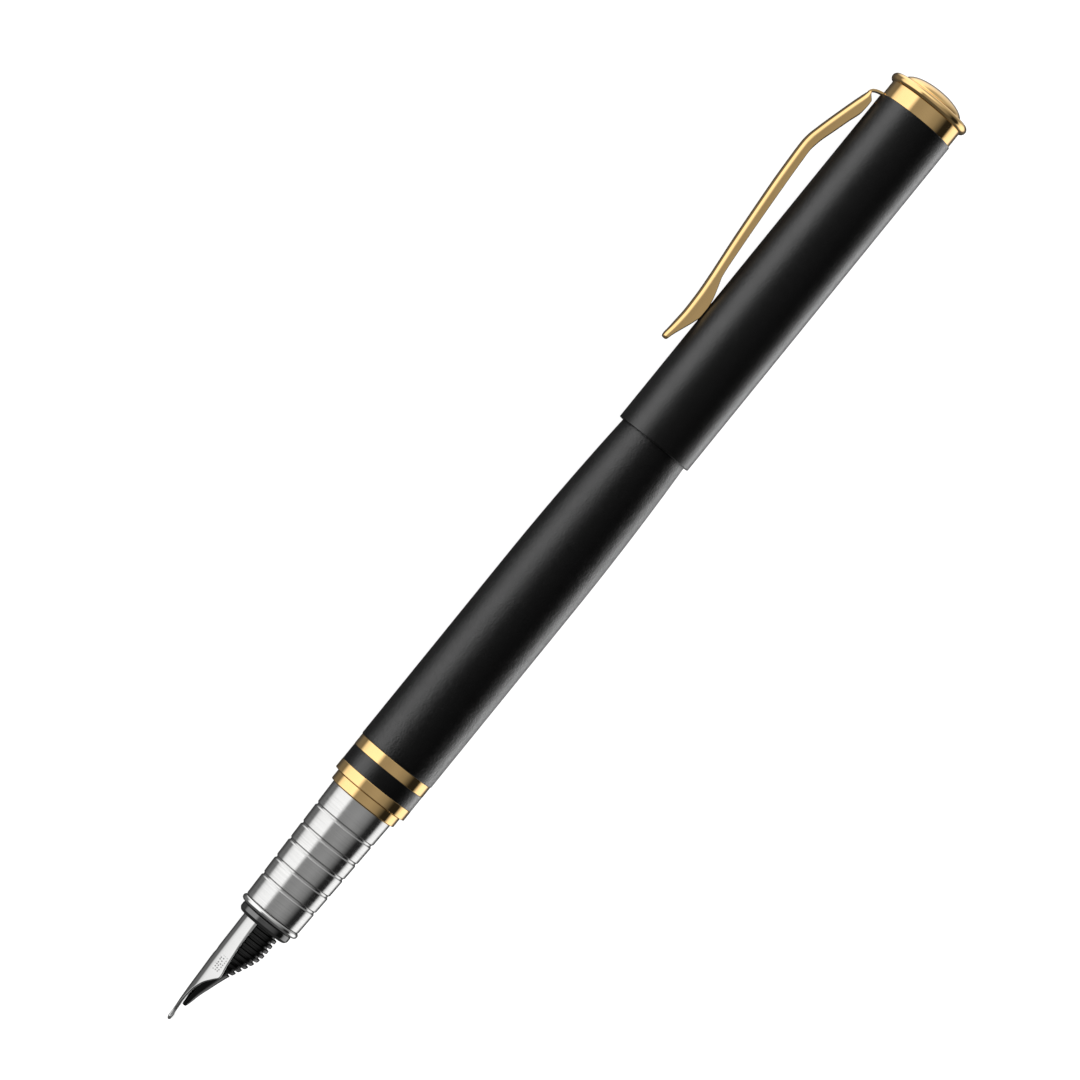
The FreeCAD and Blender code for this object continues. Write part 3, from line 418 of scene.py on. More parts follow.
def engraved_steel(name):
    """Polished steel with a small patch of stippled dots pressed into each flank of the nib, and darkened as painted
    shade.
    """
    shader = Shader(name)
    shader.put(Metallic=1.0)
    up_part = shader.node("ShaderNodeVectorMath")
    up_part.operation = "DOT_PRODUCT"
    up_part.inputs[1].default_value = UP
    shader.link(shader.place, up_part.inputs[0])
    height = shader.math("SUBTRACT", up_part.outputs["Value"], UP.dot(AXIS_POINT))
    split = shader.node("ShaderNodeSeparateXYZ")
    shader.link(shader.place, split.inputs["Vector"])
    along = shader.math("SUBTRACT", split.outputs["X"], TIP_X)
    patch = None
    for value, (low, high) in ((along, STIPPLE_X), (height, STIPPLE_UP)):
        middle, half = (low + high) / 2 * MM, (high - low) / 2 * MM
        offset = shader.math("ABSOLUTE", shader.math("SUBTRACT", value, middle))
        inside = shader.span(offset, half * STIPPLE_SOLID, half, 1.0, 0.0)
        patch = inside if patch is None else shader.math("MULTIPLY", patch, inside)
    flat = shader.node("ShaderNodeCombineXYZ")
    shader.link(along, flat.inputs["X"])
    shader.link(height, flat.inputs["Y"])
    cells = shader.node("ShaderNodeTexVoronoi")
    cells.voronoi_dimensions = "2D"
    cells.inputs["Scale"].default_value = DOT_SCALE
    cells.inputs["Randomness"].default_value = 0.4
    shader.link(flat.outputs["Vector"], cells.inputs["Vector"])
    dots = shader.span(cells.outputs["Distance"], DOT_INNER, DOT_OUTER, 1.0, 0.0)
    dots = shader.math("MULTIPLY", dots, patch)
    plain = shader.clouds(shader.noise(DRIFT_SCALE, 3.0), (0.62, 0.62, 0.615), (0.57, 0.57, 0.565))
    # The dots' colour is pulled towards dark grey: painted shade in the dimples, on top of their real bump.
    shader.colour(shader.blend(shader.math("MULTIPLY", dots, DOT_PAINTED_SHADE), plain, grey(0.14)))
    shader.smeared((0.05, 0.1))
    hairs = shader.noise(1.0, 2.0, 0.5, shader.stretched(NIB_HAIRS))
    shader.normal(shader.bump(shader.math("SUBTRACT", 1.0, dots), DOT_MICRONS, shader.bump(hairs, 0.2)))
    return shader.material


def clear_plastic(name):
    """Clear moulded tube."""
    shader = Shader(name)
    shader.put(Base_Color=(0.92, 0.95, 0.97, 1.0), Transmission_Weight=1.0, IOR=1.49)
    shader.patchy(shader.noise(1200.0, 4.0), (0.03, 0.12))
    shader.normal(shader.bump(shader.noise(3000.0, 2.0), 0.8))
    return shader.material


GOLD_PALE, GOLD_DEEP = (0.98, 0.665, 0.295), (0.92, 0.615, 0.265)
GOLD = polished_metal("gold_plate", GOLD_PALE, GOLD_DEEP, (0.06, 0.12), 0.12)
GOLD_SATIN = polished_metal("gold_clip", GOLD_PALE, GOLD_DEEP, (0.08, 0.13), 0.2)
CHROME = polished_metal("bright_chrome", (0.76, 0.76, 0.75), (0.69, 0.69, 0.685), (0.06, 0.12), 0.1)
DARK_CHROME = polished_metal("housing_gloss", grey(0.2), grey(0.15), (0.08, 0.14), 0.1)
NIB_STEEL = engraved_steel("nib_steel")
BRASS = polished_metal("raw_brass", (0.78, 0.56, 0.25), (0.68, 0.47, 0.2), (0.22, 0.36), 0.6)
SCREW_STEEL = polished_metal("screw_steel", grey(0.5), grey(0.42), (0.25, 0.4), 0.5)
SLEEVE_METAL = polished_metal("converter_metal", (0.7, 0.7, 0.69), (0.62, 0.62, 0.61), (0.1, 0.2), 0.2)
STEEL = turned_steel("grip_steel")
BARREL_BLACK = lacquer("barrel_lacquer", 0.0003, 75.0, (0.3, 0.36))
CAP_BLACK = lacquer("cap_lacquer", 0.0004, 34.0, (0.34, 0.4))
BAND_BLACK = lacquer("band_lacquer", 0.0003, 34.0, (0.32, 0.38))
FEED_BLACK = moulded("feed_plastic", grey(0.0006), (0.16, 0.24), 0.3)
LINER_BLACK = moulded("liner_plastic", (0.022, 0.022, 0.023), (0.4, 0.55))
CONVERTER_BLACK = moulded("converter_plastic", (0.02, 0.02, 0.021), (0.22, 0.35))
RUBBER = moulded("piston_rubber", grey(0.018), (0.6, 0.75), 3.0)
CLEAR = clear_plastic("clear_plastic")

# ---------------------------------------------------------------- nib

# The nib's sheet as (x, value) stations: the height of its back, the back's radius, the flanks' lean in degrees, its
# half width, and the sheet's thickness.
SLIT_HALF = 0.035
HOLE_X, HOLE_RADIUS = 10.6, 0.5
NIB_START, SHOULDER_START, SHOULDER_END, NIB_END = 0.6, 5.25, 8.6, 22.4
NIB_TOP = [(0.6, 2.13), (1.65, 2.18), (3.24, 2.32), (5.65, 2.46), (7.27, 2.53), (10.5, 2.66), (14.0, 2.72),
           (16.4, 2.76), (22.4, 2.76)]
NIB_CURVE = [(0.6, 2.3), (3.24, 2.7), (5.65, 2.85), (9.0, 2.85), (16.4, 2.7), (22.4, 2.7)]
NIB_FLANK = [(0.6, 32.0), (9.0, 32.0), (16.4, 17.7), (22.4, 17.7)]
NIB_HALF = [(0.6, 0.3), (1.4, 0.42), (2.5, 0.78), (3.5, 1.1), (4.8, 1.5), (5.52, 1.8), (6.27, 2.1), (6.89, 2.38),
            (7.82, 2.84), (8.18, 3.03), (8.6, 3.08), (9.65, 2.97), (11.3, 2.8), (13.3, 2.64), (16.4, 2.566),
            (22.4, 2.566)]
NIB_WALLS = [(0.6, 0.5), (1.5, 0.46), (2.5, 0.4), (4.0, 0.3), (8.0, 0.27), (16.4, 0.3), (22.4, 0.3)]
EDGE_SWELL = 0.55
BALL_X, BALL_UP = 0.68, 1.82
BALL_LONG, BALL_WIDE, BALL_HIGH = 0.68, 0.38, 0.33


def nib_surface(x, across, depth):
    """A point on the nib, depth below its outer surface: a round back between two straight flanks."""
    curve = smooth_between(NIB_CURVE, x)
    top = smooth_between(NIB_TOP, x)
    flank = math.radians(smooth_between(NIB_FLANK, x))
    side = 1.0 if across > 0 else -1.0
    reach = abs(across)
    bend = curve * math.cos(flank)
    if reach < bend:
        lean = math.asin(reach / curve)
        up = top - curve * (1 - math.cos(lean))
    else:
        lean = math.pi / 2 - flank
        up = top - curve * (1 - math.sin(flank)) - (reach - bend) / math.tan(flank)
    return x, side * (reach - depth * math.sin(lean)), up - depth * math.cos(lean)


def nib_half(side):
    """One half of the nib's bent sheet, from the slit and the breather hole out to the edge."""
    hole_start, hole_end = HOLE_X - HOLE_RADIUS, HOLE_X + HOLE_RADIUS
    columns, edge_steps, hole_steps = 30, 5, 16
    xs = spread(NIB_START, SHOULDER_START, 30)[:-1] + spread(SHOULDER_START, SHOULDER_END, 26)[:-1]
    xs += spread(SHOULDER_END, hole_start, 8)[:-1]
    xs += [HOLE_X - HOLE_RADIUS * math.cos(math.pi * step / hole_steps) for step in range(hole_steps + 1)]
    xs += spread(hole_end, NIB_END, 40)[1:]
    points, rings = [], []
    for x in xs:
        reach = abs(x - HOLE_X)
        inner = math.sqrt(max(HOLE_RADIUS**2 - reach**2, 0.0)) if reach < HOLE_RADIUS else 0.0
        if x < HOLE_X:
            inner = max(inner, SLIT_HALF)
        outer = smooth_between(NIB_HALF, x)
        wall = smooth_between(NIB_WALLS, x)
        loop = []
        for column in range(columns):
            across = inner + (outer - inner) * column / (columns - 1)
            loop.append(nib_surface(x, side * across, 0.0))
        for step in range(1, edge_steps):
            angle = math.pi * step / edge_steps
            swell = wall / 2 * math.sin(angle) * EDGE_SWELL
            loop.append(nib_surface(x, side * (outer + swell), wall / 2 * (1 - math.cos(angle))))
        for column in reversed(range(columns)):
            across = inner + (outer - inner) * column / (columns - 1)
            loop.append(nib_surface(x, side * across, wall))
        add_loop(points, rings, loop)
    faces = tube_faces(rings)
    if side < 0:
        faces = [list(reversed(face)) for face in faces]
    middle = {index for index, point in enumerate(points) if abs(point[1]) < 1e-9}
    return points, [face for face in faces if not middle.issuperset(face)]


def nib_tipping(side):
    """One half of the tipping ball, flat at the slit."""
    rows, columns = 14, 12
    points, faces, grid = [], [], []
    for row in range(rows + 1):
        polar = math.pi * row / rows
        line = []
        for column in range(columns + 1):
            around = math.pi * column / columns
            x = BALL_X - BALL_LONG * math.cos(polar)
            across = side * (SLIT_HALF + BALL_WIDE * math.sin(polar) * math.sin(around))
            up = BALL_UP + BALL_HIGH * math.sin(polar) * math.cos(around)
            line.append(len(points))
            points.append((x, across, up))
        grid.append(line)
    for first, second in zip(grid, grid[1:]):
        for column in range(columns):
            faces.append([first[column], first[column + 1], second[column + 1], second[column]])
        faces.append([first[columns], first[0], second[0], second[columns]])
    return points, faces


def build_nib():
    points, faces = joined(nib_half(1), nib_half(-1))
    make_piece("nib_blade", points, faces, "section", "nib_steel", NIB_STEEL, ["nib"], crease=50.0)
    points, faces = joined(nib_tipping(1), nib_tipping(-1))
    make_piece("nib_tipping", points, faces, "section", "nib_steel", CHROME, ["nib"], crease=60.0)


# ---------------------------------------------------------------- feed

# The feed as (x, value) stations: its half width, the height where it is widest, its top and its underside.
FEED_START, FEED_END = 2.6, 22.5
FEED_HALF = [(2.6, 0.42), (4.2, 0.9), (5.9, 1.38), (8.4, 1.92), (12.9, 2.38), (16.4, 2.3), (22.5, 2.3)]
FEED_SIDE = [(2.6, 1.42), (5.9, 1.3), (8.4, 0.8), (12.9, 0.0), (16.4, 0.2), (22.5, 0.2)]
FEED_TOP = [(2.6, 1.7), (5.9, 1.98), (8.4, 2.13), (12.9, 2.22), (16.4, 2.33), (22.5, 2.33)]
FEED_UNDER = [(2.6, 1.12), (3.34, 0.91), (4.69, 0.61), (5.92, 0.21), (7.15, -0.19), (8.71, -0.75), (9.52, -1.15),
              (10.22, -1.44), (10.99, -1.81), (11.8, -2.15), (12.65, -2.46), (13.33, -2.61), (14.0, -2.66),
              (22.5, -2.66)]
FIN_FIRST, FIN_PITCH, FIN_SLOT, FIN_DEPTH, FIN_EASE = 8.93, 0.79, 0.34, 0.42, 0.05
SIDE_DEPTH = 1.6  # how much deeper a slot is at the feed's sides than under it
BEAK_ROUND, NIB_GAP = 0.09, 0.02
HOUSING_FRONT = extent("nib_housing")[0]


def feed_loop(x, inset):
    """One cross-section of the feed; inset is how deep a slot is cut there."""
    half = smooth_between(FEED_HALF, x) - inset * SIDE_DEPTH
    side = smooth_between(FEED_SIDE, x)
    top = smooth_between(FEED_TOP, x) - NIB_GAP
    under = smooth_between(FEED_UNDER, x) + inset
    loop = []
    steps = 24
    for step in range(steps):
        angle = math.pi * step / steps
        loop.append((x, half * math.cos(angle), side + (top - side) * math.sin(angle)))
    for step in range(steps):
        angle = math.pi * step / steps
        loop.append((x, -half * math.cos(angle), side - (side - under) * math.sin(angle)))
    return loop


def build_feed():
    """The feed as one skin: a smooth beak, then thin fins between slots, then a round heel in the housing."""
    stations = [(x, 0.0) for x in spread(FEED_START, FIN_FIRST - 0.02, 30)]
    x = FIN_FIRST
    while x + FIN_SLOT < HOUSING_FRONT:
        slot_end = x + FIN_SLOT
        stations += [(x, FIN_EASE), (x + FIN_EASE, FIN_DEPTH), (slot_end - FIN_EASE, FIN_DEPTH), (slot_end, FIN_EASE)]
        stations += [(slot_end + FIN_EASE, 0.0), (x + FIN_PITCH - FIN_EASE, 0.0)]
        x += FIN_PITCH
    stations = [item for item in stations if item[0] < HOUSING_FRONT + 0.05]
    stations += [(value, 0.0) for value in spread(HOUSING_FRONT + 0.1, FEED_END, 6)]
    points, rings = [], []
    first = feed_loop(FEED_START, 0.0)
    centre_up = sum(point[2] for point in first) / len(first)
    for shrink, back in ((0.6, 0.0), (0.88, 0.03)):
        loop = [(px + back, across * shrink, centre_up + (up - centre_up) * shrink) for px, across, up in first]
        add_loop(points, rings, loop)
    add_loop(points, rings, [(px + BEAK_ROUND, across, up) for px, across, up in first])
    for x, inset in stations[1:]:
        add_loop(points, rings, feed_loop(x, inset))
    make_piece("feed_fins", points, tube_faces(rings), "section", "feed_plastic", FEED_BLACK, ["feed"], crease=35.0)


# ---------------------------------------------------------------- section

# Radii and lengths of the hidden insides, as in the CAD.
SHEATH_RADIUS, SHEATH_BORE, SHEATH_LENGTH = 3.3, 2.82, 8.6
NIPPLE_RADIUS, NIPPLE_BORE, NIPPLE_STEP = 1.7, 0.6, 6.6
NOSE_BORE, SOCKET_BORE, GRIP_BORE = 3.35, 3.6, 3.87
NOSE_BORE_LENGTH, SOCKET_BORE_LENGTH = 6.7, 11.5
SECTION_RING_BORE, RING_BORE, STUD_BORE = 4.22, 4.75, 1.3

# What shows of the section.
HOUSING_RADIUS, HOUSING_NECK, HOUSING_LENGTH = 3.72, 3.42, 1.2
BEAD_HEIGHT, BEAD_FOOT = 0.31, 0.32
GROOVES = (21.75, 24.4, 27.25, 29.75, 32.75)
GROOVE_HALF, GROOVE_FLOOR, GROOVE_DEPTH, GROOVE_LIP, GROOVE_FILLET = 0.27, 0.09, 0.16, 0.06, 0.03
GRIP_FALL, GRIP_EDGE = 0.44, 0.12


def build_nose():
    front, back, _ = extent("nib_housing")
    lip = front + 0.02
    housing = rounded([
        (lip, SHEATH_BORE),
        (lip, HOUSING_NECK, 0.3),
        (front + 0.4, HOUSING_RADIUS, 0.34),
        (front + HOUSING_LENGTH, HOUSING_RADIUS, 0.25),
        (front + HOUSING_LENGTH, SHEATH_RADIUS),
        (front + SHEATH_LENGTH, SHEATH_RADIUS, 0.2),
        (front + SHEATH_LENGTH + 1.0, NIPPLE_RADIUS, 0.2),
        (back, NIPPLE_RADIUS, 0.15),
        (back, NIPPLE_BORE),
        (front + NIPPLE_STEP, NIPPLE_BORE),
        (front + NIPPLE_STEP, SHEATH_BORE),
    ])
    turned("nose_collar", housing, "section", "housing_plastic", DARK_CHROME, ["nib_housing"])
    front, back, radius = extent("nose_ring")
    foot = radius - BEAD_FOOT
    bead = [(front, NOSE_BORE), (front, foot)] + bulge((front, foot), (back, foot), BEAD_HEIGHT, 14)
    bead += [(back, NOSE_BORE)]
    turned("nose_bead", bead, "section", "bright_chrome", CHROME, ["nose_ring"])


def build_grip():
    front, back, radius = extent("grip_section")
    front_radius = radius - GRIP_FALL
    slope = (radius - front_radius) / (back - front)
    corners = [(front, NOSE_BORE), (front, front_radius, GRIP_EDGE)]
    for middle in GROOVES:
        surface = front_radius + (middle - front) * slope
        corners.append((middle - GROOVE_HALF, surface, GROOVE_LIP))
        corners.append((middle - GROOVE_FLOOR, surface - GROOVE_DEPTH, GROOVE_FILLET))
        corners.append((middle + GROOVE_FLOOR, surface - GROOVE_DEPTH, GROOVE_FILLET))
        corners.append((middle + GROOVE_HALF, surface, GROOVE_LIP))
    nose_end, socket_end = front + NOSE_BORE_LENGTH, front + SOCKET_BORE_LENGTH
    corners += [(back, radius, GRIP_EDGE), (back, GRIP_BORE), (socket_end, GRIP_BORE), (socket_end, SOCKET_BORE)]
    corners += [(nose_end, SOCKET_BORE), (nose_end, NOSE_BORE)]
    turned("grip_sleeve", rounded(corners, 4), "section", "grip_steel", STEEL, ["grip_section"], crease=40.0)


RING_EDGE, BAND_EDGE = 0.07, 0.06


def plain_ring(name, node, body, slot, material, bore, edge):
    """A ring with eased edges."""
    front, back, radius = extent(node)
    corners = [(front, bore), (front, radius, edge), (back, radius, edge), (back, bore)]
    turned(name, rounded(corners, 8), body, slot, material, [node])


def build_rings():
    plain_ring("ring_section", "section_ring", "section_carrier", "gold_plate", GOLD, SECTION_RING_BORE, RING_EDGE)
    plain_ring("ring_barrel_lip", "barrel_ring", "barrel", "gold_plate", GOLD, RING_BORE, RING_EDGE)
    plain_ring("band_black", "barrel_band", "barrel", "band_lacquer", BAND_BLACK, RING_BORE, BAND_EDGE)
    plain_ring("ring_barrel_trim", "barrel_trim_ring", "barrel", "gold_plate", GOLD, RING_BORE, RING_EDGE)


# The thread: its foot is half a ridge's width as a share of the pitch, a crest above 1 cuts the ridge's top flat, and
# the run-out is the length over which it fades at each end.
THREAD_PITCH, THREAD_HEIGHT, THREAD_FOOT, THREAD_CREST = 1.0, 0.25, 0.36, 1.35
THREAD_RUN_OUT, THREAD_SHY = 0.6, 0.01
THREAD_FRONT, THREAD_BACK = 7.7, 0.9  # measured from the coupler's back
COUPLER_BORE, COUPLER_FRONT, SHOULDER_AT, SHANK_AT = 3.55, 3.85, 6.21, 7.8


def build_coupler():
    """The coupler with its rolled thread."""
    front, back, crest = extent("section_coupler")
    root = crest - THREAD_HEIGHT
    start, end = back - THREAD_FRONT, back - THREAD_BACK

    def thread(x, radius, angle):
        if abs(radius - root) > 1e-4 or not start < x < end:
            return radius
        phase = (x / THREAD_PITCH - angle / TURN) % 1.0
        ridge = max(0.0, 1.0 - abs(phase - 0.5) / THREAD_FOOT)
        fade = min(1.0, (x - start) / THREAD_RUN_OUT, (end - x) / THREAD_RUN_OUT)
        return root + min(1.0, ridge * THREAD_CREST) * (THREAD_HEIGHT - THREAD_SHY) * fade

    shoulder, shank = front + SHOULDER_AT, front + SHANK_AT
    outline = [(front, COUPLER_BORE), (front, COUPLER_FRONT), (shoulder, COUPLER_FRONT), (shoulder, crest)]
    outline += [(shank, crest)] + [(x, root) for x in spread(shank, back, 110)] + [(back, COUPLER_BORE)]
    turned("coupler_thread", outline, "section", "raw_brass", BRASS, ["section_coupler"],
           segments=THREAD_SEGMENTS, swell=thread)


# ---------------------------------------------------------------- barrel

TAPER_START, TAPER_ARC, CONE_START = 71.5, 400.0, 94.1
TAIL_ROUND, TAIL_WALL, TAIL_FLAT = 1.0, 1.2, 1.4
TAIL_BORE, WIDE_BORE = 2.95, 4.2
MAIN_BORE_END, WIDE_BORE_END = 72.0, 92.0


def barrel_profile(x, radius):
    """The barrel's outer radius: straight, then one long arc, then its tangent cone."""
    if x <= TAPER_START:
        return radius
    run = min(x, CONE_START) - TAPER_START
    fallen = TAPER_ARC - math.sqrt(TAPER_ARC**2 - run**2)
    slope = run / math.sqrt(TAPER_ARC**2 - run**2)
    return radius - fallen - max(0.0, x - CONE_START) * slope


def build_barrel():
    front, back, radius = extent("barrel_tube")
    outline = [(front, RING_BORE), (front, radius - 0.08), (front + 0.03, radius - 0.03), (front + 0.08, radius)]
    outline += [(x, radius) for x in spread(front + 0.5, TAPER_START, 12)]
    tail_x = back - TAIL_ROUND
    outline += [(x, barrel_profile(x, radius)) for x in spread(TAPER_START, tail_x, 56)[1:]]
    tail, steps = barrel_profile(tail_x, radius), 8
    for step in range(1, steps + 1):
        angle = math.pi / 2 * step / steps
        outline.append((tail_x + TAIL_ROUND * math.sin(angle), tail - TAIL_ROUND + TAIL_ROUND * math.cos(angle)))
    outline += [(back, TAIL_FLAT), (back, 0.0), (back - TAIL_WALL, 0.0), (back - TAIL_WALL, TAIL_BORE)]
    outline += [(WIDE_BORE_END, WIDE_BORE), (MAIN_BORE_END, RING_BORE)]
    turned("barrel_shell", outline, "barrel", "barrel_lacquer", BARREL_BLACK, ["barrel_tube"], segments=FINE_SEGMENTS)


# ---------------------------------------------------------------- cap

# The dome as (how far below its end, radius).
DOME_CURVE = [(1.2, 4.24), (1.05, 4.12), (0.8, 3.8), (0.56, 3.36), (0.38, 2.88), (0.24, 2.36), (0.13, 1.8),
              (0.06, 1.24), (0.015, 0.62), (0.0, 0.0)]
CAP_BORE, CAP_END_WALL = 5.05, 1.0
COLLAR_LAP, COLLAR_WALL, WASHER_RADIUS, WASHER_GAP = 0.15, 0.5, 5.0, 0.03
SPIGOT_BORE = 2.52
RIM_BEAD, RIM_SHIFT, RIM_MARGIN = 0.62, 0.06, 0.003
RIM_SWEEP_START, RIM_SWEEP = -75.0, 175.0
FINIAL_BORE, FINIAL_SPIGOT, FINIAL_STEP = 1.25, 2.5, 1.72


def build_cap():
    front, back, radius = extent("cap_tube")
    edge = back - COLLAR_LAP
    outline = rounded([
        (front, CAP_BORE, 0.05),
        (front, radius, 0.1),
        (edge, radius, 0.08),
        (edge, STUD_BORE),
        (back - CAP_END_WALL, STUD_BORE),
        (back - CAP_END_WALL, CAP_BORE),
    ])
    turned("cap_shell", outline, "cap", "cap_lacquer", CAP_BLACK, ["cap_tube"], segments=FINE_SEGMENTS)

    front, back, _ = extent("clip_ring")
    washer = [(front, STUD_BORE), (front, WASHER_RADIUS), (back, WASHER_RADIUS), (back, STUD_BORE)]
    turned("clip_washer", washer, "cap", "gold_plate", GOLD, ["clip_ring"])

    cover, bore = front - COLLAR_LAP, WASHER_RADIUS + WASHER_GAP
    front, back, radius = extent("cap_collar")
    collar = rounded([
        (front, STUD_BORE),
        (front, bore),
        (cover, bore),
        (cover, radius, 0.05),
        (back, radius),
        (back, SPIGOT_BORE),
        (front + COLLAR_WALL, SPIGOT_BORE),
        (front + COLLAR_WALL, STUD_BORE),
    ])
    turned("collar", collar, "cap", "gold_plate", GOLD, ["cap_collar"])

    front, back, radius = extent("cap_rim")
    middle, crest, steps = (front + back) / 2 - RIM_SHIFT, radius - RIM_MARGIN, 24
    rim = [(front, SPIGOT_BORE)]
    for step in range(steps + 1):
        angle = math.radians(RIM_SWEEP_START + RIM_SWEEP * step / steps)
        rim.append((max(front, middle + RIM_BEAD * math.sin(angle)), crest - RIM_BEAD * (1 - math.cos(angle))))
    rim += [(back - 0.15, 4.85), (back - 0.32, 4.55), (back - 0.32, SPIGOT_BORE)]
    turned("rim_bead", rim, "cap", "gold_plate", GOLD, ["cap_rim"])

    front, back, base = extent("finial")
    step_x = back - FINIAL_STEP
    dome = [(front, FINIAL_BORE), (front, FINIAL_SPIGOT), (step_x, FINIAL_SPIGOT), (step_x, base - 0.1)]
    dome += [(back - 1.32, base)] + [(back - fall, reach) for fall, reach in DOME_CURVE]
    dome += [(back - 1.7, 0.0), (back - 1.7, FINIAL_BORE)]
    turned("dome", dome, "cap", "gold_plate", GOLD, ["finial"])


# ---------------------------------------------------------------- clip

# The clip as (x, value) stations: its back's height, its lower edge's height and its half width. CLIP_ARCS rounds its
# shoulders, as (lean in degrees where the arc ends, radius), and STRAP_LINE is the strap's middle as (x, height).
CLIP_OUTER = [(105.2, 7.8), (105.75, 7.82), (106.5, 7.75), (107.84, 7.68), (109.56, 7.6), (112.0, 7.66), (115.1, 7.9),
              (117.04, 8.1), (120.0, 8.42), (126.4, 8.98), (129.6, 9.23), (132.5, 9.39), (134.4, 9.47), (135.2, 9.48),
              (136.2, 9.4), (137.77, 9.06), (141.17, 8.16), (144.13, 7.3), (145.0, 7.0), (145.4, 6.82)]
CLIP_UNDER = [(105.2, 6.98), (106.12, 6.76), (107.4, 6.3), (109.09, 5.67), (110.1, 5.39), (111.4, 5.38), (112.4, 5.5),
              (114.4, 6.05), (115.7, 6.46), (118.1, 6.73), (127.4, 7.46), (133.5, 7.84), (134.9, 7.9), (136.3, 7.72),
              (138.8, 7.03), (140.9, 6.42), (142.9, 5.84), (144.3, 5.78), (145.0, 6.3), (145.4, 6.6)]
CLIP_HALF = [(105.2, 1.3), (106.2, 1.4), (109.0, 1.46), (117.0, 1.5), (145.4, 1.5)]
CLIP_WALL, CLIP_EDGE, CLIP_INNER_ROUND = 0.36, 0.06, 1.0
# Where the clip is low, its shoulders, wall and channel shrink to these shares of its height.
SHOULDER_SHARE, WALL_SHARE, CHANNEL_SHARE, LEAST_ROUND = 0.93, 0.42, 0.8, 0.05
CLIP_ARCS = ((64.0, 3.0), (47.0, 0.42), (21.0, 0.66), (0.0, 2.4))
STRAP_LINE = [(145.15, 6.82), (145.46, 6.7), (145.7, 6.48), (145.88, 6.15), (145.99, 5.8), (146.07, 5.45),
              (146.12, 5.2)]
STRAP_HALF, STRAP_WALL = 1.15, 0.28


def shoulder_curve():
    """The shoulder of the folded clip as (inward from the side, below the top), from the crown down to the side."""
    curve, upper, steps = [(0.0, 0.0)], 90.0, 5
    for lower, radius in CLIP_ARCS:
        for step in range(steps):
            first = math.radians(upper + (lower - upper) * step / steps)
            second = math.radians(upper + (lower - upper) * (step + 1) / steps)
            out = curve[-1][0] + radius * (math.cos(second) - math.cos(first))
            down = curve[-1][1] + radius * (math.sin(first) - math.sin(second))
            curve.append((out, down))
        upper = lower
    width = curve[-1][0]
    return [(width - out, down) for out, down in curve]


SHOULDER = shoulder_curve()


def clip_loop(x, share):
    """One cross-section of the folded clip: crowned top, shoulders, side walls, and the channel inside.

    A share below 1 shrinks it, for the closed end.
    """
    top = smooth_between(CLIP_OUTER, x)
    low = smooth_between(CLIP_UNDER, x)
    half = smooth_between(CLIP_HALF, x)
    height = top - low
    squash = min(1.0, height * SHOULDER_SHARE / SHOULDER[-1][1])
    pinch = min(1.0, half / SHOULDER[0][0])
    wall = min(CLIP_WALL, height * WALL_SHARE)
    inner_half = half - wall
    inner_round = max(min(CLIP_INNER_ROUND, height * CHANNEL_SHARE - wall), LEAST_ROUND)
    edge = CLIP_EDGE
    loop = [(-half + edge, low), (-half, low + edge)]
    loop += [(-half + inward * pinch, top - down * squash) for inward, down in reversed(SHOULDER)]
    loop += [(half - inward * pinch, top - down * squash) for inward, down in SHOULDER]
    loop += [(half, low + edge), (half - edge, low), (inner_half + edge, low), (inner_half, low + edge)]
    ceiling, steps = [], 4
    for step in range(steps + 1):
        angle = math.pi / 2 * step / steps
        up = max(top - wall - inner_round * (1 - math.sin(angle)), low + edge * 1.5)
        ceiling.append((inner_half - inner_round * (1 - math.cos(angle)), up))
    loop += ceiling + [(-across, up) for across, up in reversed(ceiling)]
    loop += [(-inner_half, low + edge), (-inner_half - edge, low)]
    middle = (top + low) / 2
    return [(x, across * (share + 1) / 2, middle + (up - middle) * share) for across, up in loop]


def build_clip():
    tip_end = [(105.2, 105.2, 0.5), (105.23, 105.2, 0.72), (105.3, 105.25, 0.88), (105.42, 105.42, 0.97)]
    xs = spread(105.6, 109.0, 16)[:-1] + spread(109.0, 117.0, 40)[:-1] + spread(117.0, 133.4, 24)[:-1]
    xs += spread(133.4, 138.2, 30)[:-1] + spread(138.2, 144.2, 14)[:-1] + spread(144.2, 145.4, 12)
    points, rings = [], []
    for x, source, share in tip_end + [(x, x, 1.0) for x in xs]:
        add_loop(points, rings, [(x, across, up) for _, across, up in clip_loop(source, share)])
    arm = (points, tube_faces(rings))
    points, rings = [], []
    for index, (x, up) in enumerate(STRAP_LINE):
        before = Vector(STRAP_LINE[max(index - 1, 0)])
        after = Vector(STRAP_LINE[min(index + 1, len(STRAP_LINE) - 1)])
        along = (after - before).normalized()
        out = Vector((-along.y, along.x)) * (STRAP_WALL / 2)
        outside, inside = (x + out.x, up + out.y), (x - out.x, up - out.y)
        section = ((outside, -STRAP_HALF), (outside, STRAP_HALF), (inside, STRAP_HALF), (inside, -STRAP_HALF))
        add_loop(points, rings, [(x, across, up) for (x, up), across in section])
    points, faces = joined(arm, (points, tube_faces(rings)))
    make_piece("clip_arm_folded", points, faces, "clip_arm", "gold_clip", GOLD_SATIN, ["clip"], crease=38.0)


build_nib()
build_feed()
build_nose()
build_grip()
build_rings()
build_coupler()
build_barrel()
build_cap()
build_clip()

# The hidden pieces keep the CAD's own meshes.
CARRIED_OVER = {
    "barrel_bush": BRASS,
    "converter_mouth": CONVERTER_BLACK,
    "converter_reservoir": CLEAR,
    "converter_sleeve": SLEEVE_METAL,
    "converter_piston": RUBBER,
    "converter_rod": CONVERTER_BLACK,
    "converter_guide": CONVERTER_BLACK,
    "converter_knob": CONVERTER_BLACK,
    "inner_cap": LINER_BLACK,
    "finial_screw": SCREW_STEEL,
}
for node, material in CARRIED_OVER.items():
    carried = frame["nodes"][node]
    carried.data.materials.clear()
    carried.data.materials.append(material)

# ---------------------------------------------------------------- floor

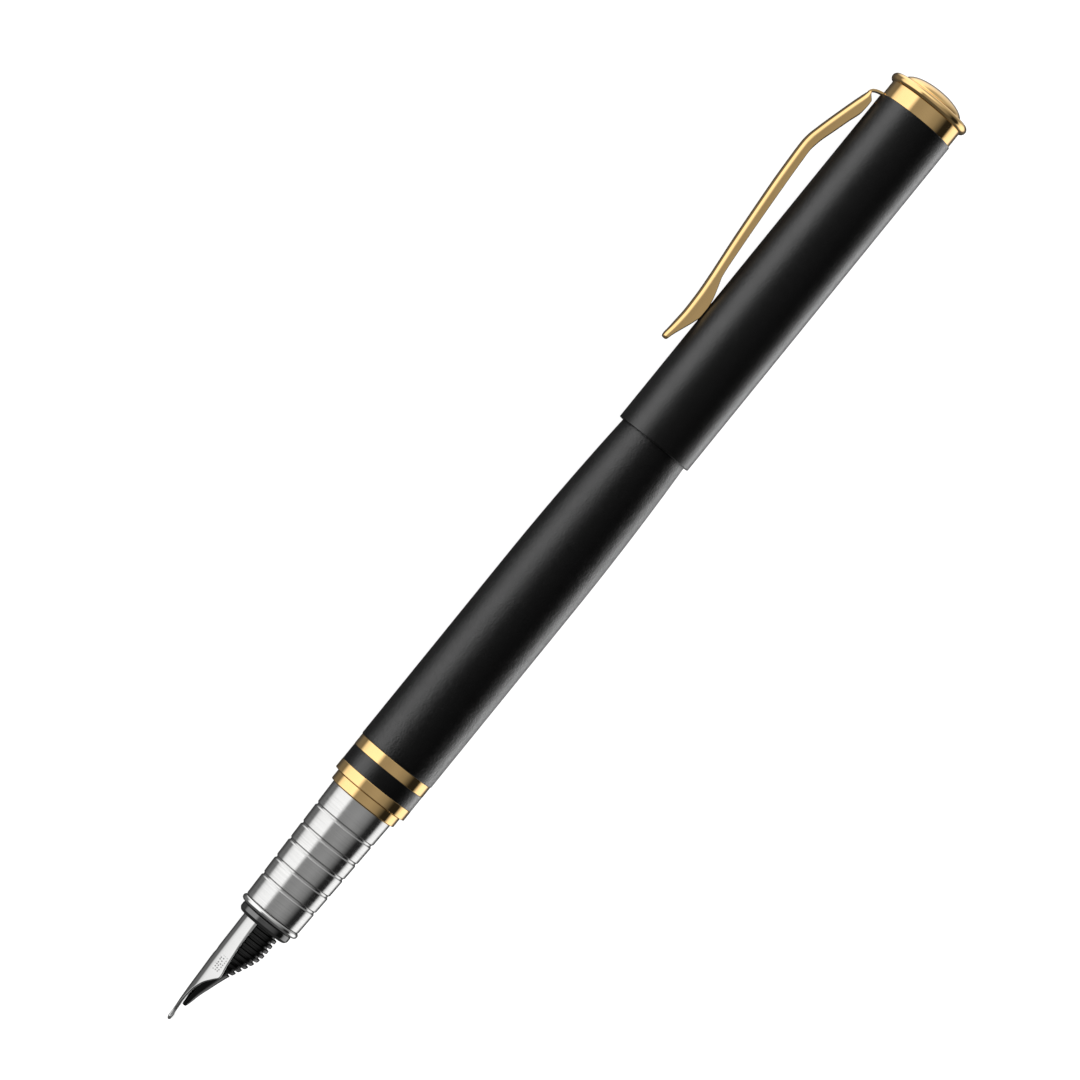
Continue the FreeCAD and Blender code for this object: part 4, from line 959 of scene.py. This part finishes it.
FLOOR_GLOW, FLOOR_HALF, FLOOR_GAP = 0.95, 1.6, 0.00002


def build_floor():
    """A plain pale sheet that glows a little, so that it stays as even as the photo's background."""
    mesh = bpy.data.meshes.new("floor")
    half, level = FLOOR_HALF, cad_low.z - FLOOR_GAP
    corners = [(-half, -half, level), (half, -half, level), (half, half, level), (-half, half, level)]
    mesh.from_pydata(corners, [], [(0, 1, 2, 3)])
    shader = Shader("floor_paper")
    shader.colour(shader.blend(shader.noise(40.0, 3.0), grey(0.14), grey(0.16)))
    shader.put(Roughness=0.9, Emission_Color=(*grey(1.0), 1.0), Emission_Strength=FLOOR_GLOW)
    mesh.materials.append(shader.material)
    floor = bpy.data.objects.new("floor", mesh)
    bpy.context.scene.collection.objects.link(floor)
    floor.visible_glossy = False
    floor.visible_shadow = False


build_floor()

# ---------------------------------------------------------------- light

# The studio is a ring of panels round the pen, as (angle, brightness). An angle is measured round the pen's axis, in
# degrees, from the direction straight out of the side that the photo shows; it grows away from the clip's side.
PANELS = (
    (-180.0, 0.03), (-145.0, 0.09), (-128.0, 0.192), (-108.0, 0.215), (-97.0, 1.073),
    (-82.0, 1.356), (-39.0, 1.446), (-28.0, 0.339), (-10.0, 0.35), (11.0, 0.384),
    (23.0, 0.373), (47.0, 0.271), (60.0, 0.136), (71.0, 0.02), (94.0, 0.02),
    (104.0, 1.073), (113.0, 1.412), (134.0, 1.412), (147.0, 0.136), (180.0, 0.03),
)
# Towards the dome the ring gives way to one end panel, as (height share, brightness), with a spot straight along the
# axis; towards the nib it gives way to a dark end. Each span is how far along the axis a direction points.
END_PANEL = ((0.0, 0.05), (0.22, 0.35), (0.38, 0.7), (0.5, 0.95), (0.7, 1.4), (1.0, 1.4))
FRONT_LEVEL, AXIS_LEVEL = 0.1, 0.5
END_SPAN, AXIS_SPAN, FRONT_SPAN = (0.3, 0.6), (0.86, 0.97), (-0.3, -0.55)
# The strip lamps, as (angle, width in metres, watts).
LACQUER_STRIPS = ((-63.0, 0.5, 21.5), (127.0, 0.36, 10.0))
STRIP_MIDDLE, STRIP_LENGTH, STRIP_AWAY = 78.0, 1.6, 0.6
LACQUERED = ("band_black", "barrel_shell", "cap_shell")
TOP_WATTS, TOP_WIDTH, TOP_PLACE = 14.0, 1.1, (0.0, 0.15, 0.9)


def grey_ramp(tree, stops, factor, top):
    """A ramp of grey levels, each a share of the top level."""
    ramp = tree.nodes.new("ShaderNodeValToRGB")
    elements = ramp.color_ramp.elements
    for index, (position, level) in enumerate(stops):
        stop = elements[index] if index < 2 else elements.new(position)
        stop.position = position
        stop.color = (*grey(level / top), 1.0)
    tree.links.new(factor, ramp.inputs["Fac"])
    return ramp.outputs["Color"]


def along_part(tree, direction, axis):
    """How far a direction points along an axis."""
    dot = tree.nodes.new("ShaderNodeVectorMath")
    dot.operation = "DOT_PRODUCT"
    dot.inputs[1].default_value = axis
    tree.links.new(direction, dot.inputs[0])
    return dot.outputs["Value"]


def share_of(tree, value, span):
    """Where a value lies between two limits, from 0 to 1."""
    share = tree.nodes.new("ShaderNodeMapRange")
    share.inputs["From Min"].default_value, share.inputs["From Max"].default_value = span
    tree.links.new(value, share.inputs["Value"])
    return share.outputs["Result"]


def build_world():
    world = bpy.data.worlds.new("studio")
    bpy.context.scene.world = world
    world.use_nodes = True
    tree = world.node_tree
    background = tree.nodes["Background"]
    direction = tree.nodes.new("ShaderNodeTexCoord").outputs["Generated"]
    angle = tree.nodes.new("ShaderNodeMath")
    angle.operation = "ARCTAN2"
    tree.links.new(along_part(tree, direction, -UP), angle.inputs[0])
    tree.links.new(along_part(tree, direction, -ACROSS), angle.inputs[1])
    top = max(level for _, level in PANELS + END_PANEL)
    round_share = share_of(tree, angle.outputs["Value"], (-math.pi, math.pi))
    panels = grey_ramp(tree, [(degrees / 360.0 + 0.5, level) for degrees, level in PANELS], round_share, top)
    end = grey_ramp(tree, END_PANEL, share_of(tree, along_part(tree, direction, UP), (-1.0, 1.0)), top)
    along = along_part(tree, direction, ALONG)
    sky = mixed(tree, share_of(tree, along, END_SPAN), panels, end)
    sky = mixed(tree, share_of(tree, along, AXIS_SPAN), sky, grey(AXIS_LEVEL / top))
    sky = mixed(tree, share_of(tree, along, FRONT_SPAN), sky, grey(FRONT_LEVEL / top))
    tree.links.new(sky, background.inputs["Color"])
    background.inputs["Strength"].default_value = top


def aimed(right, above, back, centre):
    """A lamp's or camera's matrix from the directions of its own axes."""
    return Matrix.Translation(centre) @ Matrix((right, above, back)).transposed().to_4x4()


def build_strips():
    """Two long narrow lamps beside the pen that only the lacquered tubes see."""
    lit = bpy.data.collections.new("lacquered")
    for name in LACQUERED:
        lit.objects.link(bpy.data.objects[name])
    middle = place(STRIP_MIDDLE, 0.0, 0.0)
    for degrees, width, watts in LACQUER_STRIPS:
        angle = math.radians(degrees)
        back = -ACROSS * math.cos(angle) - UP * math.sin(angle)
        light = bpy.data.lights.new("strip", "AREA")
        light.shape = "RECTANGLE"
        light.size, light.size_y = STRIP_LENGTH, width
        light.energy = watts
        lamp = bpy.data.objects.new("strip", light)
        lamp.matrix_world = aimed(ALONG, back.cross(ALONG), back, middle + back * STRIP_AWAY)
        bpy.context.scene.collection.objects.link(lamp)
        lamp.light_linking.receiver_collection = lit


def build_lamp():
    """One wide soft lamp over the table."""
    light = bpy.data.lights.new("soft_top", "AREA")
    light.shape = "DISK"
    light.size = TOP_WIDTH
    light.energy = TOP_WATTS
    lamp = bpy.data.objects.new("soft_top", light)
    lamp.location = TOP_PLACE
    lamp.rotation_euler = (-lamp.location).to_track_quat("-Z", "Y").to_euler()
    lamp.visible_glossy = False
    bpy.context.scene.collection.objects.link(lamp)


build_world()
build_strips()
build_lamp()

# ---------------------------------------------------------------- camera

PEN_SLANT = math.radians(50.95)
CAMERA_DISTANCE, CAMERA_LENS = 0.7128, 190.0
CAMERA_NEAR, CAMERA_FAR = 0.01, 10.0
CAMERA_AIM = (75.8, 0.0, 3.43)


def build_camera():
    """The camera looks square at the pen's side, rolled so that the pen slants as in the photo."""
    data = bpy.data.cameras.new("camera")
    data.lens = CAMERA_LENS
    data.clip_start, data.clip_end = CAMERA_NEAR, CAMERA_FAR
    camera = bpy.data.objects.new("camera", data)
    right = ALONG * math.cos(PEN_SLANT) - UP * math.sin(PEN_SLANT)
    above = ALONG * math.sin(PEN_SLANT) + UP * math.cos(PEN_SLANT)
    camera.matrix_world = aimed(right, above, -ACROSS, place(*CAMERA_AIM) - ACROSS * CAMERA_DISTANCE)
    bpy.context.scene.collection.objects.link(camera)
    bpy.context.scene.camera = camera


build_camera()
bpy.context.scene.view_settings.view_transform = "Standard"
